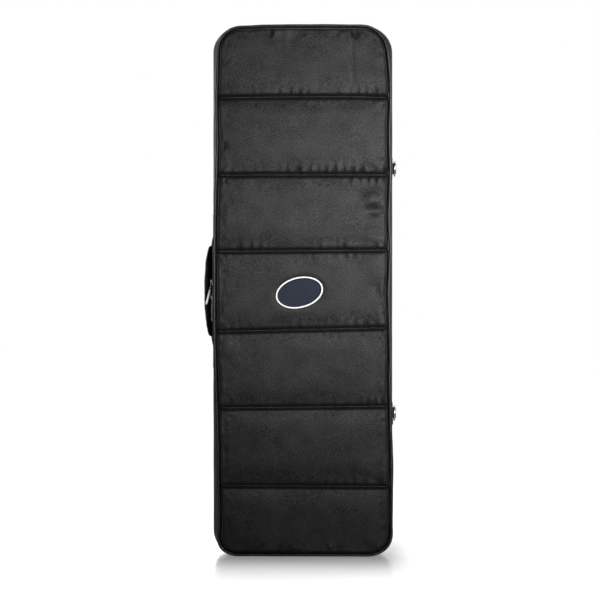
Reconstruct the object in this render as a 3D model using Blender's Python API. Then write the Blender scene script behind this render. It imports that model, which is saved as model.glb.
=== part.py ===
"""A padded keyboard gig bag that stands on its short end, front towards -Y, in metres with +Z up.

The base is a tray of back panel, gussets and spine. The lid turns on the spine and zips to the base along its
other three sides. The handle, the two sliders with their pulls, and the two D-rings are moving pieces too.
"""

import math

import bmesh
import bpy
from mathutils import Euler, Matrix, Vector

# Driving sizes of the whole bag
BODY_HEIGHT = 1.000
BODY_WIDTH = 0.327
BODY_DEPTH = 0.118
CORNER_RADIUS = 0.048
PIPING_DIAMETER = 0.0055
SIDE_RISE = 0.00775
SIDE_SQUARENESS = 4
END_RISE = 0.00325
END_SHOULDER = 0.009

# Cloth, foam and the gap that lies between two pieces sewn together
FABRIC = 0.0012
LINING = 0.0008
FIT = 0.0003
LID_GUSSET_FOAM = 0.005
BASE_GUSSET_FOAM = 0.010
FRONT_FOAM = 0.0125
BACK_FOAM = 0.0150

# Quilting of the front, and the raised middle of the back
CROWN = 0.0115
SEAM_HEIGHT = 0.0045
EDGE_RUN = 0.032
EDGE_FULLNESS = 2
SEAM_RUN = 0.050
SEAM_FULLNESS = 3
SEAM_LEFT_SHARES = (0.1336, 0.2792, 0.4226, 0.5727, 0.7161, 0.8626)
SEAM_RIGHT_SHARES = (0.1325, 0.2830, 0.4299, 0.5751, 0.7161, 0.8626)
BACK_RISE = 0.0030
BACK_SLOPE_RUN = 0.015

# Zip: where its line runs, and its chain of two coils on two tapes
ZIP_Y = -0.022
COVER_OPENING = 0.006
HEM_WIDTH = 0.0075
TAPE_WIDTH = 0.013
TAPE = 0.0008
CHAIN_GAP = 0.001
COIL_WIDTH = 0.0026
COIL_HEIGHT = 0.0024
COIL_END_DEGREES = 35
SPINE_END_RUN = 0.012
TAPE_DEPTH = 2 * (FABRIC + FIT)
COIL_DEPTH = TAPE_DEPTH - FIT - COIL_HEIGHT

# Slider and its pull
SLIDER_LENGTH = 0.016
SLIDER_HALF_WIDTH = 0.0054
SLIDER_PLATE = 0.0015
SLIDER_UNDER_PLATE = 0.0012
SLIDER_PLAY = 0.0004
POST_HALF_WIDTH = 0.0007
POST_LENGTH_SHARE = 0.7
SLIDER_OUTLINE_SHARES = ((1, 0.45), (0.8, 0.95), (0.15, 1), (-0.4, 0.75), (-1, 0.66))
BAIL_HALF_LENGTH = 0.0042
BAIL_HALF_WIDTH = 0.0012
BAIL_HEIGHT = 0.0039
BAIL_STOCK = 0.0012
PULL_LENGTH = 0.046
PULL_TAB_LENGTH = 0.022
PULL_TAB_THICKNESS = 0.0016
PULL_ARM = 0.0014
PULL_WINDOW_HALF_WIDTH = 0.0029
PULL_WINDOW_LENGTH = 0.0056
PULL_GRIP_START = 0.0145
PULL_GRIP_HALF_WIDTH = 0.0046
PULL_GRIP_THICKNESS = 0.0038
PULL_GRIP_CORNER_SHARE = 0.6
PULL_GRIP_ALONG_SHARES = (0, 0.06, 0.3, 0.8, 0.95, 1)
PULL_GRIP_WIDTH_SHARES = (0.80, 0.95, 1, 0.86, 0.74, 0.5)
PULL_GRIP_DEPTH_SHARES = (0.75, 0.95, 1, 1, 0.9, 0.6)
PULL_OUT_TILT_DEGREES = 13.4
PULL_SIDE_TILT_DEGREES = 20
UPPER_SLIDER_Z = 0.515
LOWER_SLIDER_Z = 0.487

# Handle on the left side
HANDLE_Z = 0.498
HANDLE_Y = 0.020
HANDLE_LENGTH = 0.174
HANDLE_WIDTH = 0.048
HANDLE_REACH = 0.02875
HANDLE_END_REACH = 0.0175
HANDLE_CLEARANCE = 0.0005
HANDLE_BOW_POWER = 2.3
HANDLE_BOW_ROUNDNESS = 0.62
HANDLE_SECTION_ROUNDNESS = 0.62
HANDLE_END_NARROWING_SHARE = 0.1
HANDLE_ALONG_SHARES = (-1, -0.985, -0.93, -0.82, -0.62, -0.35, 0, 0.35, 0.62, 0.82, 0.93, 0.985, 1)
STRAP_WIDTH = 0.040
STRAP = 0.002
STRAP_LEVEL = 0.0042
TAIL_DROP_LENGTH = 0.024
TAIL_SEWN_LENGTH = 0.036
TAIL_ALONG_SHARES = (0, 0.12, 0.35, 0.65, 0.88, 1)
TAIL_HEIGHT_SHARES = (1, 0.97, 0.72, 0.26, 0.03, 0)
TAIL_WIDTH_SHARES = (-0.5, -0.25, 0, 0.25, 0.5)

# D-rings on the right side
RING_CENTRES_Z = (0.266, 0.731)
RING_PATCH = 0.044
RING_PATCH_Y = 0.020
RING_BAR_Y = 0.020
RING_WIRE = 0.0035
RING_WIDTH = 0.031
RING_DEPTH = 0.022
RING_CORNER = 0.0025
LOOP_WIDTH = 0.020
LOOP_LENGTH = 0.018
LOOP_CLOTH = 0.0012
LOOP_TAIL_SHARES = (0.28, 0.6, 1)
LOOP_WRAP_START_DEGREES = 55
LOOP_WRAP_DEGREES = 215

# Badge on the fourth channel
BADGE_X = -0.0051
BADGE_LEVEL_SHARE = 0.4957
BADGE_Z = BODY_HEIGHT * BADGE_LEVEL_SHARE
BADGE_LENGTH = 0.091
BADGE_HEIGHT = 0.059
BADGE_TILT_DEGREES = 14
BADGE_PLATE = 0.0015
BADGE_RIM = 0.0008
BADGE_RIM_WIDTH = 0.0036
BADGE_EDGE = 0.0010

# Foam strips round the corners and along the sides
CORNER_LABELS = ("low_spine_corner", "low_zip_corner", "high_zip_corner", "high_spine_corner")
SIDE_LABELS = ("bottom", "zip_side", "top")

# How finely round shapes are divided
CORNER_SEGMENTS = 8
PIPING_SIDES = 8
LOOP_WRAP_STEPS = 10
RING_CORNER_STEPS = 3
RING_BOW_STEPS = 12
SECTION_POINTS = 16
BADGE_SEGMENTS = 40
BADGE_RING_SHARES = (0.35, 0.7)
COLUMN_SHARES = (-1, -0.93, -0.8, -0.6, -0.4, -0.2, 0, 0.2, 0.4, 0.6, 0.8, 0.93, 1)
CHANNEL_ROW_SHARES = (0, 0.1, 0.28, 0.5, 0.72, 0.9)
DEPTH_KNOT_SHARES = (-0.9, -0.85, -0.7, -0.5, -0.25, 0, 0.25, 0.5, 0.7, 0.85, 0.9)

# Places that follow from the sizes above
PIPING_RADIUS = PIPING_DIAMETER / 2
HALF_WIDTH = BODY_WIDTH / 2 - PIPING_RADIUS
PIPING_Y = BODY_DEPTH / 2
LINE_RADIUS = CORNER_RADIUS - PIPING_RADIUS
LINE_LOW = END_RISE
LINE_HIGH = BODY_HEIGHT - END_RISE
ARC_LOW = LINE_LOW + LINE_RADIUS
ARC_HIGH = LINE_HIGH - LINE_RADIUS
COVER_INSET = PIPING_RADIUS + FIT
COVER_EDGE_Y = PIPING_Y - PIPING_RADIUS - FIT
SPINE_LOW = ARC_LOW + SPINE_END_RUN
SPINE_HIGH = ARC_HIGH - SPINE_END_RUN
FOAM_DEPTH = FABRIC + FIT
FRONT_FOAM_BACK = PIPING_Y - FRONT_FOAM
BACK_FOAM_FRONT = PIPING_Y - BACK_FOAM


def clear_scene():
    """Removes whatever objects the scene starts with."""
    for old in list(bpy.data.objects):
        bpy.data.objects.remove(old, do_unlink=True)


def material(name, colour, roughness, metallic=0.0):
    """A Principled material of one colour."""
    made = bpy.data.materials.new(name)
    made.use_nodes = True
    shader = made.node_tree.nodes["Principled BSDF"]
    shader.inputs["Base Color"].default_value = (*colour, 1)
    shader.inputs["Roughness"].default_value = roughness
    shader.inputs["Metallic"].default_value = metallic
    return made


def frame(name, place=(0, 0, 0)):
    """An empty that a moving body's pieces are parented to."""
    empty = bpy.data.objects.new(name, None)
    empty.location = place
    bpy.context.collection.objects.link(empty)
    return empty


def finish(name, mesh, surface, parent=None, place=(0, 0, 0), turn=(0, 0, 0), smooth_degrees=40):
    """Turns a bmesh into a named object that keeps its place when its parent lies elsewhere."""
    bmesh.ops.recalc_face_normals(mesh, faces=mesh.faces)
    data = bpy.data.meshes.new(name)
    mesh.to_mesh(data)
    mesh.free()
    data.shade_smooth()
    data.set_sharp_from_angle(angle=math.radians(smooth_degrees))
    data.materials.append(surface)
    piece = bpy.data.objects.new(name, data)
    piece.location = place
    piece.rotation_euler = turn
    bpy.context.collection.objects.link(piece)
    if parent is not None:
        piece.parent = parent
        home = Matrix.LocRotScale(parent.location, parent.rotation_euler, None)
        piece.matrix_parent_inverse = home.inverted()
    return piece


def loft(loops, ring=False):
    """A closed bmesh through loops of equally many points, capped at its ends unless it is a ring."""
    mesh = bmesh.new()
    rows = [[mesh.verts.new(point) for point in loop] for loop in loops]
    count = len(rows[0])
    following = rows[1:] + rows[:1] if ring else rows[1:]
    for row, after in zip(rows, following):
        for i in range(count):
            j = (i + 1) % count
            mesh.faces.new((row[i], row[j], after[j], after[i]))
    if not ring:
        mesh.faces.new(rows[0])
        mesh.faces.new(rows[-1])
    return mesh


def corner(centre_x, centre_z, start, end):
    """Stations round one corner of the piping line, as (x, z, outward x, outward z)."""
    stations = []
    for step in range(CORNER_SEGMENTS + 1):
        angle = math.radians(start + (end - start) * step / CORNER_SEGMENTS)
        out_x, out_z = math.cos(angle), math.sin(angle)
        stations.append((centre_x + LINE_RADIUS * out_x, centre_z + LINE_RADIUS * out_z, out_x, out_z))
    return stations


def corner_arcs():
    """The piping line's four corners, from the right side round the bottom, left and top to the right side."""
    centre = HALF_WIDTH - LINE_RADIUS
    return [
        corner(centre, ARC_LOW, 0, -90),
        corner(-centre, ARC_LOW, -90, -180),
        corner(-centre, ARC_HIGH, 180, 90),
        corner(centre, ARC_HIGH, 90, 0),
    ]


def corners():
    """The stations of all four corners, one after another."""
    return [station for arc in corner_arcs() for station in arc]


def side_station(z, side=1):
    return (side * HALF_WIDTH, z, side, 0)


def three_sides():
    """The stations that the zip and the gussets follow, from spine end to spine end."""
    return [side_station(SPINE_LOW - FIT)] + corners() + [side_station(SPINE_HIGH + FIT)]


def trimmed(stations):
    """The stations with both ends drawn in by half a gap."""
    made = list(stations)
    for end, inner in ((0, 1), (-1, -2)):
        x, z, out_x, out_z = stations[end]
        inner_x, inner_z = stations[inner][:2]
        share = FIT / 2 / math.hypot(inner_x - x, inner_z - z)
        made[end] = (x + (inner_x - x) * share, z + (inner_z - z) * share, out_x, out_z)
    return made


def foam_strips():
    """The label and stations of each strip of foam round the three gusset sides, and of the spine's."""
    arcs = corner_arcs()
    strips = []
    for label, arc in zip(CORNER_LABELS, arcs):
        strips.append((label, arc))
    for label, arc, after in zip(SIDE_LABELS, arcs, arcs[1:]):
        strips.append((label, [arc[-1], after[0]]))
    strips.append(("spine", [arcs[0][0], arcs[-1][-1]]))
    return [(label, trimmed(stations)) for label, stations in strips]


def coil_stations():
    """The zip's coils stop in the two spine corners, clear of the fold."""
    skipped = round(CORNER_SEGMENTS * COIL_END_DEGREES / 90)
    return corners()[skipped:-skipped]


def spine_stations():
    return [side_station(SPINE_LOW), side_station(SPINE_HIGH)]


def swell(y):
    """How far the long sides stand beyond the piping line at depth y."""
    return SIDE_RISE * (1 - (y / PIPING_Y) ** SIDE_SQUARENESS)


def end_swell(y):
    """How far the short sides do: flat, with a shoulder at each piping."""
    share = max(0, min(1, (PIPING_Y - abs(y)) / END_SHOULDER))
    return END_RISE * (1 - (1 - share) ** 2)


def on_gusset(station, y, depth):
    """A point depth metres under the gusset's outer surface."""
    x, z, out_x, out_z = station
    away = out_x**2 * swell(y) + out_z**2 * end_swell(y) - depth
    return Vector((x + out_x * away, y, z + out_z * away))


def depths_between(start, end):
    """The y values at which a gusset layer is divided."""
    low, high = min(start, end), max(start, end)
    inner = [PIPING_Y * share for share in DEPTH_KNOT_SHARES if low < PIPING_Y * share < high]
    return [low] + inner + [high]


def layer(stations, start, end, outer_depth, thickness, hem=0):
    """One strip of the gusset from y = start to y = end. A hem doubles its edge at end."""
    levels = depths_between(start, end)
    if end < start:
        levels.reverse()
    inner_depth = outer_depth + thickness
    inside = [(y, inner_depth) for y in levels]
    if hem:
        fold = end + math.copysign(hem, start - end)
        kept = [(y, inner_depth) for y in levels if abs(y - end) > hem]
        inside = kept + [(fold, inner_depth), (fold, TAPE_DEPTH - FIT), (end, TAPE_DEPTH - FIT)]
    loops = []
    for station in stations:
        outer = [on_gusset(station, y, outer_depth) for y in levels]
        loops.append(outer + [on_gusset(station, y, depth) for y, depth in reversed(inside)])
    return loft(loops)


def outline_loop(inset, y):
    """The piping line drawn in by inset, at depth y."""
    return [Vector((x - out_x * inset, y, z - out_z * inset)) for x, z, out_x, out_z in corners()]


def plate(steps):
    """A flat piece through outline loops, each given as (inset, y)."""
    return loft([outline_loop(inset, y) for inset, y in steps])


def piping(y):
    """The cord round a panel, as rings of points round the piping line."""
    loops = []
    for x, z, out_x, out_z in corners():
        ring = []
        for side in range(PIPING_SIDES):
            angle = 2 * math.pi * side / PIPING_SIDES
            away = PIPING_RADIUS * math.cos(angle)
            ring.append(Vector((x + out_x * away, y + PIPING_RADIUS * math.sin(angle), z + out_z * away)))
        loops.append(ring)
    return loft(loops, ring=True)


def seam_height_at(seam, x):
    """The z of a quilting seam at x. The seams run nearly level, a few rise to the right."""
    share = (x + HALF_WIDTH) / (2 * HALF_WIDTH)
    return BODY_HEIGHT * (SEAM_LEFT_SHARES[seam] * (1 - share) + SEAM_RIGHT_SHARES[seam] * share)


def edge_distance(x, z):
    """How far a point of the front lies inside its cover's edge."""
    across = HALF_WIDTH - abs(x)
    along = min(z - LINE_LOW, LINE_HIGH - z)
    if across < LINE_RADIUS and along < LINE_RADIUS:
        return LINE_RADIUS - math.hypot(LINE_RADIUS - across, LINE_RADIUS - along) - COVER_INSET
    return min(across, along) - COVER_INSET


def ramp(distance, run, fullness):
    """A rounded rise from 0 to 1 over a run."""
    return 1 - (1 - max(0, min(1, distance / run))) ** fullness


def front_rise(x, z):
    """How far the front cover's middle surface stands in front of the piping line."""
    seam_distance = min(abs(z - seam_height_at(seam, x)) for seam in range(len(SEAM_LEFT_SHARES)))
    channel = SEAM_HEIGHT + (CROWN - SEAM_HEIGHT) * ramp(seam_distance, SEAM_RUN, SEAM_FULLNESS)
    return channel * ramp(edge_distance(x, z), EDGE_RUN, EDGE_FULLNESS)


def panel_rows(inset):
    """Rows of (x, z) across the front, inside the outline that is inset from the piping line."""
    radius = LINE_RADIUS - inset
    half = HALF_WIDTH - inset
    rows = []
    for step in range(CORNER_SEGMENTS + 1):
        angle = math.radians(90 * step / CORNER_SEGMENTS)
        reach = half - radius + radius * math.sin(angle)
        low = ARC_LOW - radius * math.cos(angle)
        rows.append([(reach * share, low) for share in COLUMN_SHARES])
    across = [half * share for share in COLUMN_SHARES]
    edges = [lambda x: ARC_LOW]
    edges += [lambda x, seam=seam: seam_height_at(seam, x) for seam in range(len(SEAM_LEFT_SHARES))]
    edges += [lambda x: ARC_HIGH]
    for low, high in zip(edges, edges[1:]):
        for share in CHANNEL_ROW_SHARES:
            rows.append([(x, low(x) * (1 - share) + high(x) * share) for x in across])
    del rows[CORNER_SEGMENTS + 1]
    for step in range(CORNER_SEGMENTS, -1, -1):
        angle = math.radians(90 * step / CORNER_SEGMENTS)
        reach = half - radius + radius * math.sin(angle)
        high = ARC_HIGH + radius * math.cos(angle)
        rows.append([(reach * share, high) for share in COLUMN_SHARES])
    return rows


def rim_of(grid):
    """The grid's border, once round."""
    sides = [row[-1] for row in grid[1:-1]]
    back = [row[0] for row in reversed(grid[1:-1])]
    return grid[0] + sides + grid[-1][::-1] + back


def outward(x, z):
    """The direction away from the panel at its border."""
    middle = HALF_WIDTH - LINE_RADIUS
    side = math.copysign(1, x)
    if ARC_LOW <= z <= ARC_HIGH:
        return side, 0
    centre_z = ARC_LOW if z < ARC_LOW else ARC_HIGH
    if abs(x) <= middle:
        return 0, math.copysign(1, z - centre_z)
    away = Vector((abs(x) - middle, z - centre_z)).normalized()
    return side * away.x, away.y


def panel(front_y, back_y, inset, border=0):
    """A closed sheet from two surfaces over the same grid, with an optional border strip outside the grid."""
    rows = panel_rows(inset)
    mesh = bmesh.new()
    fronts = [[mesh.verts.new((x, front_y(x, z), z)) for x, z in row] for row in rows]
    backs = [[mesh.verts.new((x, back_y(x, z), z)) for x, z in row] for row in rows]
    for grid in (fronts, backs):
        for low, high in zip(grid, grid[1:]):
            for i in range(len(low) - 1):
                mesh.faces.new((low[i], low[i + 1], high[i + 1], high[i]))
    loops = [rim_of(fronts), rim_of(backs)]
    if border:
        places = rim_of(rows)
        grown = []
        for x, z in places:
            out_x, out_z = outward(x, z)
            grown.append((x + out_x * border, z + out_z * border))
        edges = [[mesh.verts.new((x, surface(x, z), z)) for x, z in grown] for surface in (front_y, back_y)]
        loops = [loops[0], edges[0], edges[1], loops[1]]
    for loop, after in zip(loops, loops[1:]):
        for i in range(len(loop)):
            j = (i + 1) % len(loop)
            mesh.faces.new((loop[i], loop[j], after[j], after[i]))
    return mesh


def cover_front(x, z):
    return -PIPING_Y - front_rise(x, z) - FABRIC / 2


def cover_back(x, z):
    return cover_front(x, z) + FABRIC


def foam_front(x, z):
    return cover_back(x, z) + FIT


def foam_back(x, z):
    return -FRONT_FOAM_BACK


def make_front(parent, cloth, foam, lining, cord):
    """The quilted cover, the foam behind it, the lining and the piping."""
    foam_inset = FOAM_DEPTH + LID_GUSSET_FOAM - swell(COVER_EDGE_Y) + 2 * FIT
    cover = panel(cover_front, cover_back, foam_inset, foam_inset - COVER_INSET)
    finish("front_cover", cover, cloth, parent)
    finish("front_foam", panel(foam_front, foam_back, foam_inset), foam, parent)
    lining_y = -FRONT_FOAM_BACK + FIT
    lining_inset = FOAM_DEPTH + LID_GUSSET_FOAM - END_RISE + FIT
    steps = [(lining_inset, lining_y), (lining_inset, lining_y + LINING)]
    finish("front_lining", plate(steps), lining, parent)
    finish("front_piping", piping(-PIPING_Y), cord, parent)
    return lining_y + LINING


def make_back(parent, cloth, foam, lining, cord):
    """The back cover with its raised flat middle, its foam, lining and piping."""
    slope_inset = COVER_INSET + BACK_SLOPE_RUN
    half = FABRIC / 2
    steps = [(slope_inset, PIPING_Y + BACK_RISE + half), (COVER_INSET, PIPING_Y + half)]
    steps += [(COVER_INSET, PIPING_Y - half), (slope_inset, PIPING_Y + BACK_RISE - half)]
    finish("back_cover", plate(steps), cloth, parent)
    foam_inset = FOAM_DEPTH + BASE_GUSSET_FOAM - swell(COVER_EDGE_Y) + 2 * FIT
    climb = BACK_RISE * (foam_inset - COVER_INSET) / BACK_SLOPE_RUN
    steps = [(foam_inset, BACK_FOAM_FRONT), (foam_inset, PIPING_Y + climb - half - FIT)]
    steps += [(slope_inset, PIPING_Y + BACK_RISE - half - FIT)]
    finish("back_foam", plate(steps), foam, parent)
    lining_y = BACK_FOAM_FRONT - FIT
    lining_inset = FOAM_DEPTH + BASE_GUSSET_FOAM - END_RISE + FIT
    steps = [(lining_inset, lining_y - LINING), (lining_inset, lining_y)]
    finish("back_lining", plate(steps), lining, parent)
    finish("back_piping", piping(PIPING_Y), cord, parent)
    return lining_y - LINING


def make_gusset(prefix, parent, cloth, foam, lining, edge_y, zip_side, thickness, lining_y):
    """The three-sided gusset of lid or base and its stretch of the spine: covers, linings and strips of foam."""
    opening_y = ZIP_Y + zip_side * COVER_OPENING
    foam_y = ZIP_Y + zip_side * (CHAIN_GAP + TAPE_WIDTH + FIT)
    facing_y = lining_y + math.copysign(FIT, ZIP_Y - lining_y)
    lining_depth = FOAM_DEPTH + thickness + FIT
    for part, stations, hem in (("gusset", three_sides(), HEM_WIDTH), ("spine", spine_stations(), 0)):
        name = f"{prefix}_{part}"
        finish(f"{name}_cover", layer(stations, edge_y, opening_y, 0, FABRIC, hem), cloth, parent)
        finish(f"{name}_lining", layer(stations, facing_y, foam_y, lining_depth, LINING), lining, parent)
    for label, stations in foam_strips():
        strip = layer(stations, edge_y, foam_y, FOAM_DEPTH, thickness)
        finish(f"{prefix}_foam_{label}", strip, foam, parent)


def make_zip_half(prefix, parent, tape, coil, zip_side):
    """One tape and the coil that stands on it, along three sides of the bag."""
    inner_y = ZIP_Y + zip_side * CHAIN_GAP
    strip = layer(three_sides(), inner_y, inner_y + zip_side * TAPE_WIDTH, TAPE_DEPTH, TAPE)
    finish(f"{prefix}_zip_tape", strip, tape, parent)
    chain = layer(coil_stations(), inner_y, inner_y + zip_side * COIL_WIDTH, COIL_DEPTH, COIL_HEIGHT)
    finish(f"{prefix}_zip_coil", chain, coil, parent)


def make_spine_fold(parent, cloth):
    """The strip of spine cloth that bends where the lid turns."""
    reach = COVER_OPENING - FIT
    finish("spine_fold", layer(spine_stations(), ZIP_Y - reach, ZIP_Y + reach, 0, FABRIC), cloth, parent)


def prism(outline, thickness, to_point):
    """A closed solid from a flat outline, thickness deep, centred on its plane."""
    half = thickness / 2
    return loft([[to_point(a, b, level) for a, b in outline] for level in (-half, half)])


def join(piece, helpers, operation):
    """Adds or cuts helper solids with Boolean modifiers; the helpers don't render."""
    for helper in helpers:
        helper.hide_render = True
        helper.display_type = "WIRE"
        cut = piece.modifiers.new(helper.name, "BOOLEAN")
        cut.operation = operation
        cut.object = helper


def make_slider(name, parent, metal, place, turn):
    """A zip slider: two plates held by a post between the coils, and the bail over the top plate."""
    top_low = SLIDER_PLAY - COIL_DEPTH
    top_high = top_low + SLIDER_PLATE
    under_high = -TAPE_DEPTH - TAPE - SLIDER_PLAY
    half, wide = SLIDER_LENGTH / 2, SLIDER_HALF_WIDTH
    right = [(wide * across, half * along) for along, across in SLIDER_OUTLINE_SHARES]
    outline = right + [(-across, along) for across, along in reversed(right)]

    def standing(level):
        return lambda a, b, offset: Vector((level + offset, a, b))

    top_plate = prism(outline, SLIDER_PLATE, standing((top_low + top_high) / 2))
    top = finish(name, top_plate, metal, parent, place, turn)
    under_level = under_high - SLIDER_UNDER_PLATE / 2
    under = prism(outline, SLIDER_UNDER_PLATE, standing(under_level))
    post_half, post_end = POST_HALF_WIDTH, half * POST_LENGTH_SHARE
    post_outline = [(post_half, 0), (post_half, post_end), (-post_half, post_end), (-post_half, 0)]
    post_height = top_low - under_high + SLIDER_PLATE / 2 + SLIDER_UNDER_PLATE / 2
    post = prism(post_outline, post_height, standing(under_level + post_height / 2))
    low = top_high - SLIDER_PLATE / 2
    high = top_high + BAIL_HEIGHT
    long, slope = BAIL_HALF_LENGTH, BAIL_STOCK
    upper = [(low, long), (high - slope, long), (high, long - slope)]
    inner = [(high - slope, -long + 2 * slope), (high - 2 * slope, -long + slope), (low, -long + slope)]
    outer_half = upper + [(level, -along) for level, along in reversed(upper)]
    inner_half = inner[::-1] + [(level, -along) for level, along in inner]
    arch = outer_half + inner_half
    bail = prism(arch, 2 * BAIL_HALF_WIDTH, lambda a, b, offset: Vector((a, offset, b)))
    helpers = []
    for label, mesh in (("under", under), ("post", post), ("bail", bail)):
        helpers.append(finish(f"{name}_{label}", mesh, metal, parent, place, turn))
    join(top, helpers, "UNION")


def pull_level():
    """How far the pull's bar lies above the gusset cover."""
    plate_top = SLIDER_PLAY - COIL_DEPTH + SLIDER_PLATE
    return plate_top + (BAIL_HEIGHT - BAIL_STOCK) / 2


def make_pull(name, parent, metal, rubber, place, turn):
    """A metal tab whose end bar passes under the bail, and the grip moulded over the tab's blade."""
    half = PULL_WINDOW_HALF_WIDTH + PULL_ARM
    bar = PULL_TAB_THICKNESS / 2

    def hanging(a, b, offset):
        return Vector((offset, a, -b))

    blade = [(-half, -bar), (half, -bar), (half, PULL_TAB_LENGTH - half)]
    blade += [(half / 2, PULL_TAB_LENGTH), (-half / 2, PULL_TAB_LENGTH), (-half, PULL_TAB_LENGTH - half)]
    tab = finish(f"{name}_tab", prism(blade, PULL_TAB_THICKNESS, hanging), metal, parent, place, turn)
    wide = PULL_WINDOW_HALF_WIDTH
    window = [(-wide, bar), (wide, bar), (wide, PULL_WINDOW_LENGTH), (-wide, PULL_WINDOW_LENGTH)]
    hole = prism(window, 2 * PULL_TAB_THICKNESS, hanging)
    join(tab, [finish(f"{name}_window", hole, metal, parent, place, turn)], "DIFFERENCE")
    loops = []
    grip_length = PULL_LENGTH - PULL_GRIP_START
    sections = zip(PULL_GRIP_ALONG_SHARES, PULL_GRIP_WIDTH_SHARES, PULL_GRIP_DEPTH_SHARES)
    for along, width_share, depth_share in sections:
        wide = PULL_GRIP_HALF_WIDTH * width_share
        deep = PULL_GRIP_THICKNESS / 2 * depth_share
        b = PULL_GRIP_START + grip_length * along
        ring = [(wide, deep * PULL_GRIP_CORNER_SHARE), (wide * PULL_GRIP_CORNER_SHARE, deep)]
        ring += [(-a, offset) for a, offset in reversed(ring)]
        ring += [(-a, -offset) for a, offset in ring]
        loops.append([hanging(a, b, offset) for a, offset in ring])
    grip = finish(f"{name}_grip", loft(loops), rubber, parent, place, turn)
    room = half + FIT
    pocket_outline = [(-room, 0), (room, 0), (room, PULL_TAB_LENGTH + FIT), (-room, PULL_TAB_LENGTH + FIT)]
    pocket = prism(pocket_outline, PULL_TAB_THICKNESS + 2 * FIT, hanging)
    join(grip, [finish(f"{name}_pocket", pocket, rubber, parent, place, turn)], "DIFFERENCE")


def rounded(reach_a, reach_b, power):
    """A closed loop of points, from an ellipse (power 1) towards a rectangle (power 0)."""
    points = []
    for step in range(SECTION_POINTS):
        angle = 2 * math.pi * step / SECTION_POINTS
        across, up = math.cos(angle), math.sin(angle)
        a = reach_a * math.copysign(abs(across) ** power, across)
        b = reach_b * math.copysign(abs(up) ** power, up)
        points.append((a, b))
    return points


def boxed(reach_a, reach_b):
    """A rectangle of as many points as rounded gives, in the same order."""
    points = []
    for step in range(SECTION_POINTS):
        angle = 2 * math.pi * step / SECTION_POINTS
        across, up = math.cos(angle), math.sin(angle)
        most = max(abs(across), abs(up))
        points.append((reach_a * across / most, reach_b * up / most))
    return points


def handle_inside():
    """The offset from the piping line at which the handle's inner face lies."""
    return SIDE_RISE + HANDLE_CLEARANCE


def make_handle(parent, strap_parent, padding, webbing):
    """The padded grip round its strap, and the two tails that are sewn to the gusset."""
    half_length = HANDLE_LENGTH / 2
    inside = handle_inside()
    strap_middle = inside + STRAP_LEVEL

    def place(offset, across, along):
        return Vector((-HALF_WIDTH - offset, HANDLE_Y + across, HANDLE_Z + along))

    outer, inner = [], []
    for share in HANDLE_ALONG_SHARES:
        bow = (1 - abs(share) ** HANDLE_BOW_POWER) ** HANDLE_BOW_ROUNDNESS
        outside = HANDLE_END_REACH + (HANDLE_REACH - HANDLE_END_REACH) * bow
        middle, thick = (outside + inside) / 2, (outside - inside) / 2
        wide = HANDLE_WIDTH / 2 * (1 - HANDLE_END_NARROWING_SHARE * share**4)
        ring = rounded(wide, thick, HANDLE_SECTION_ROUNDNESS)
        outer.append([place(middle + up, across, half_length * share) for across, up in ring])
    slot = boxed(STRAP_WIDTH / 2 + FIT, STRAP / 2 + FIT)
    core = boxed(STRAP_WIDTH / 2, STRAP / 2)
    for share in (-1, 1):
        inner.append([place(strap_middle + up, across, half_length * share) for across, up in slot])
    outer_steps = outer + [inner[1], inner[0]]
    finish("handle_grip", loft(outer_steps, ring=True), padding, parent)
    strap = [[place(strap_middle + up, across, half_length * share) for across, up in core] for share in (-1, 1)]
    finish("handle_strap", loft(strap), webbing, parent)
    for name, side in (("handle_tail_lower", -1), ("handle_tail_upper", 1)):
        finish(name, handle_tail(side, place, strap_middle - STRAP / 2), webbing, strap_parent)


def handle_tail(side, place, high):
    """A strap end that drops from the grip to the gusset and lies on it."""
    start = HANDLE_LENGTH / 2 + FIT
    steps = zip(TAIL_ALONG_SHARES, TAIL_HEIGHT_SHARES)
    path = [(start + TAIL_DROP_LENGTH * along, up) for along, up in steps]
    path.append((start + TAIL_DROP_LENGTH + TAIL_SEWN_LENGTH, 0))
    across = [STRAP_WIDTH * share for share in TAIL_WIDTH_SHARES]
    loops = []
    for along, up in path:
        low = []
        for shift in across:
            resting = swell(HANDLE_Y + shift) + FIT
            low.append((resting * (1 - up) + high * up, shift))
        ring = low + [(level + STRAP, shift) for level, shift in reversed(low)]
        loops.append([place(level, shift, side * along) for level, shift in ring])
    return loft(loops)


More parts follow.
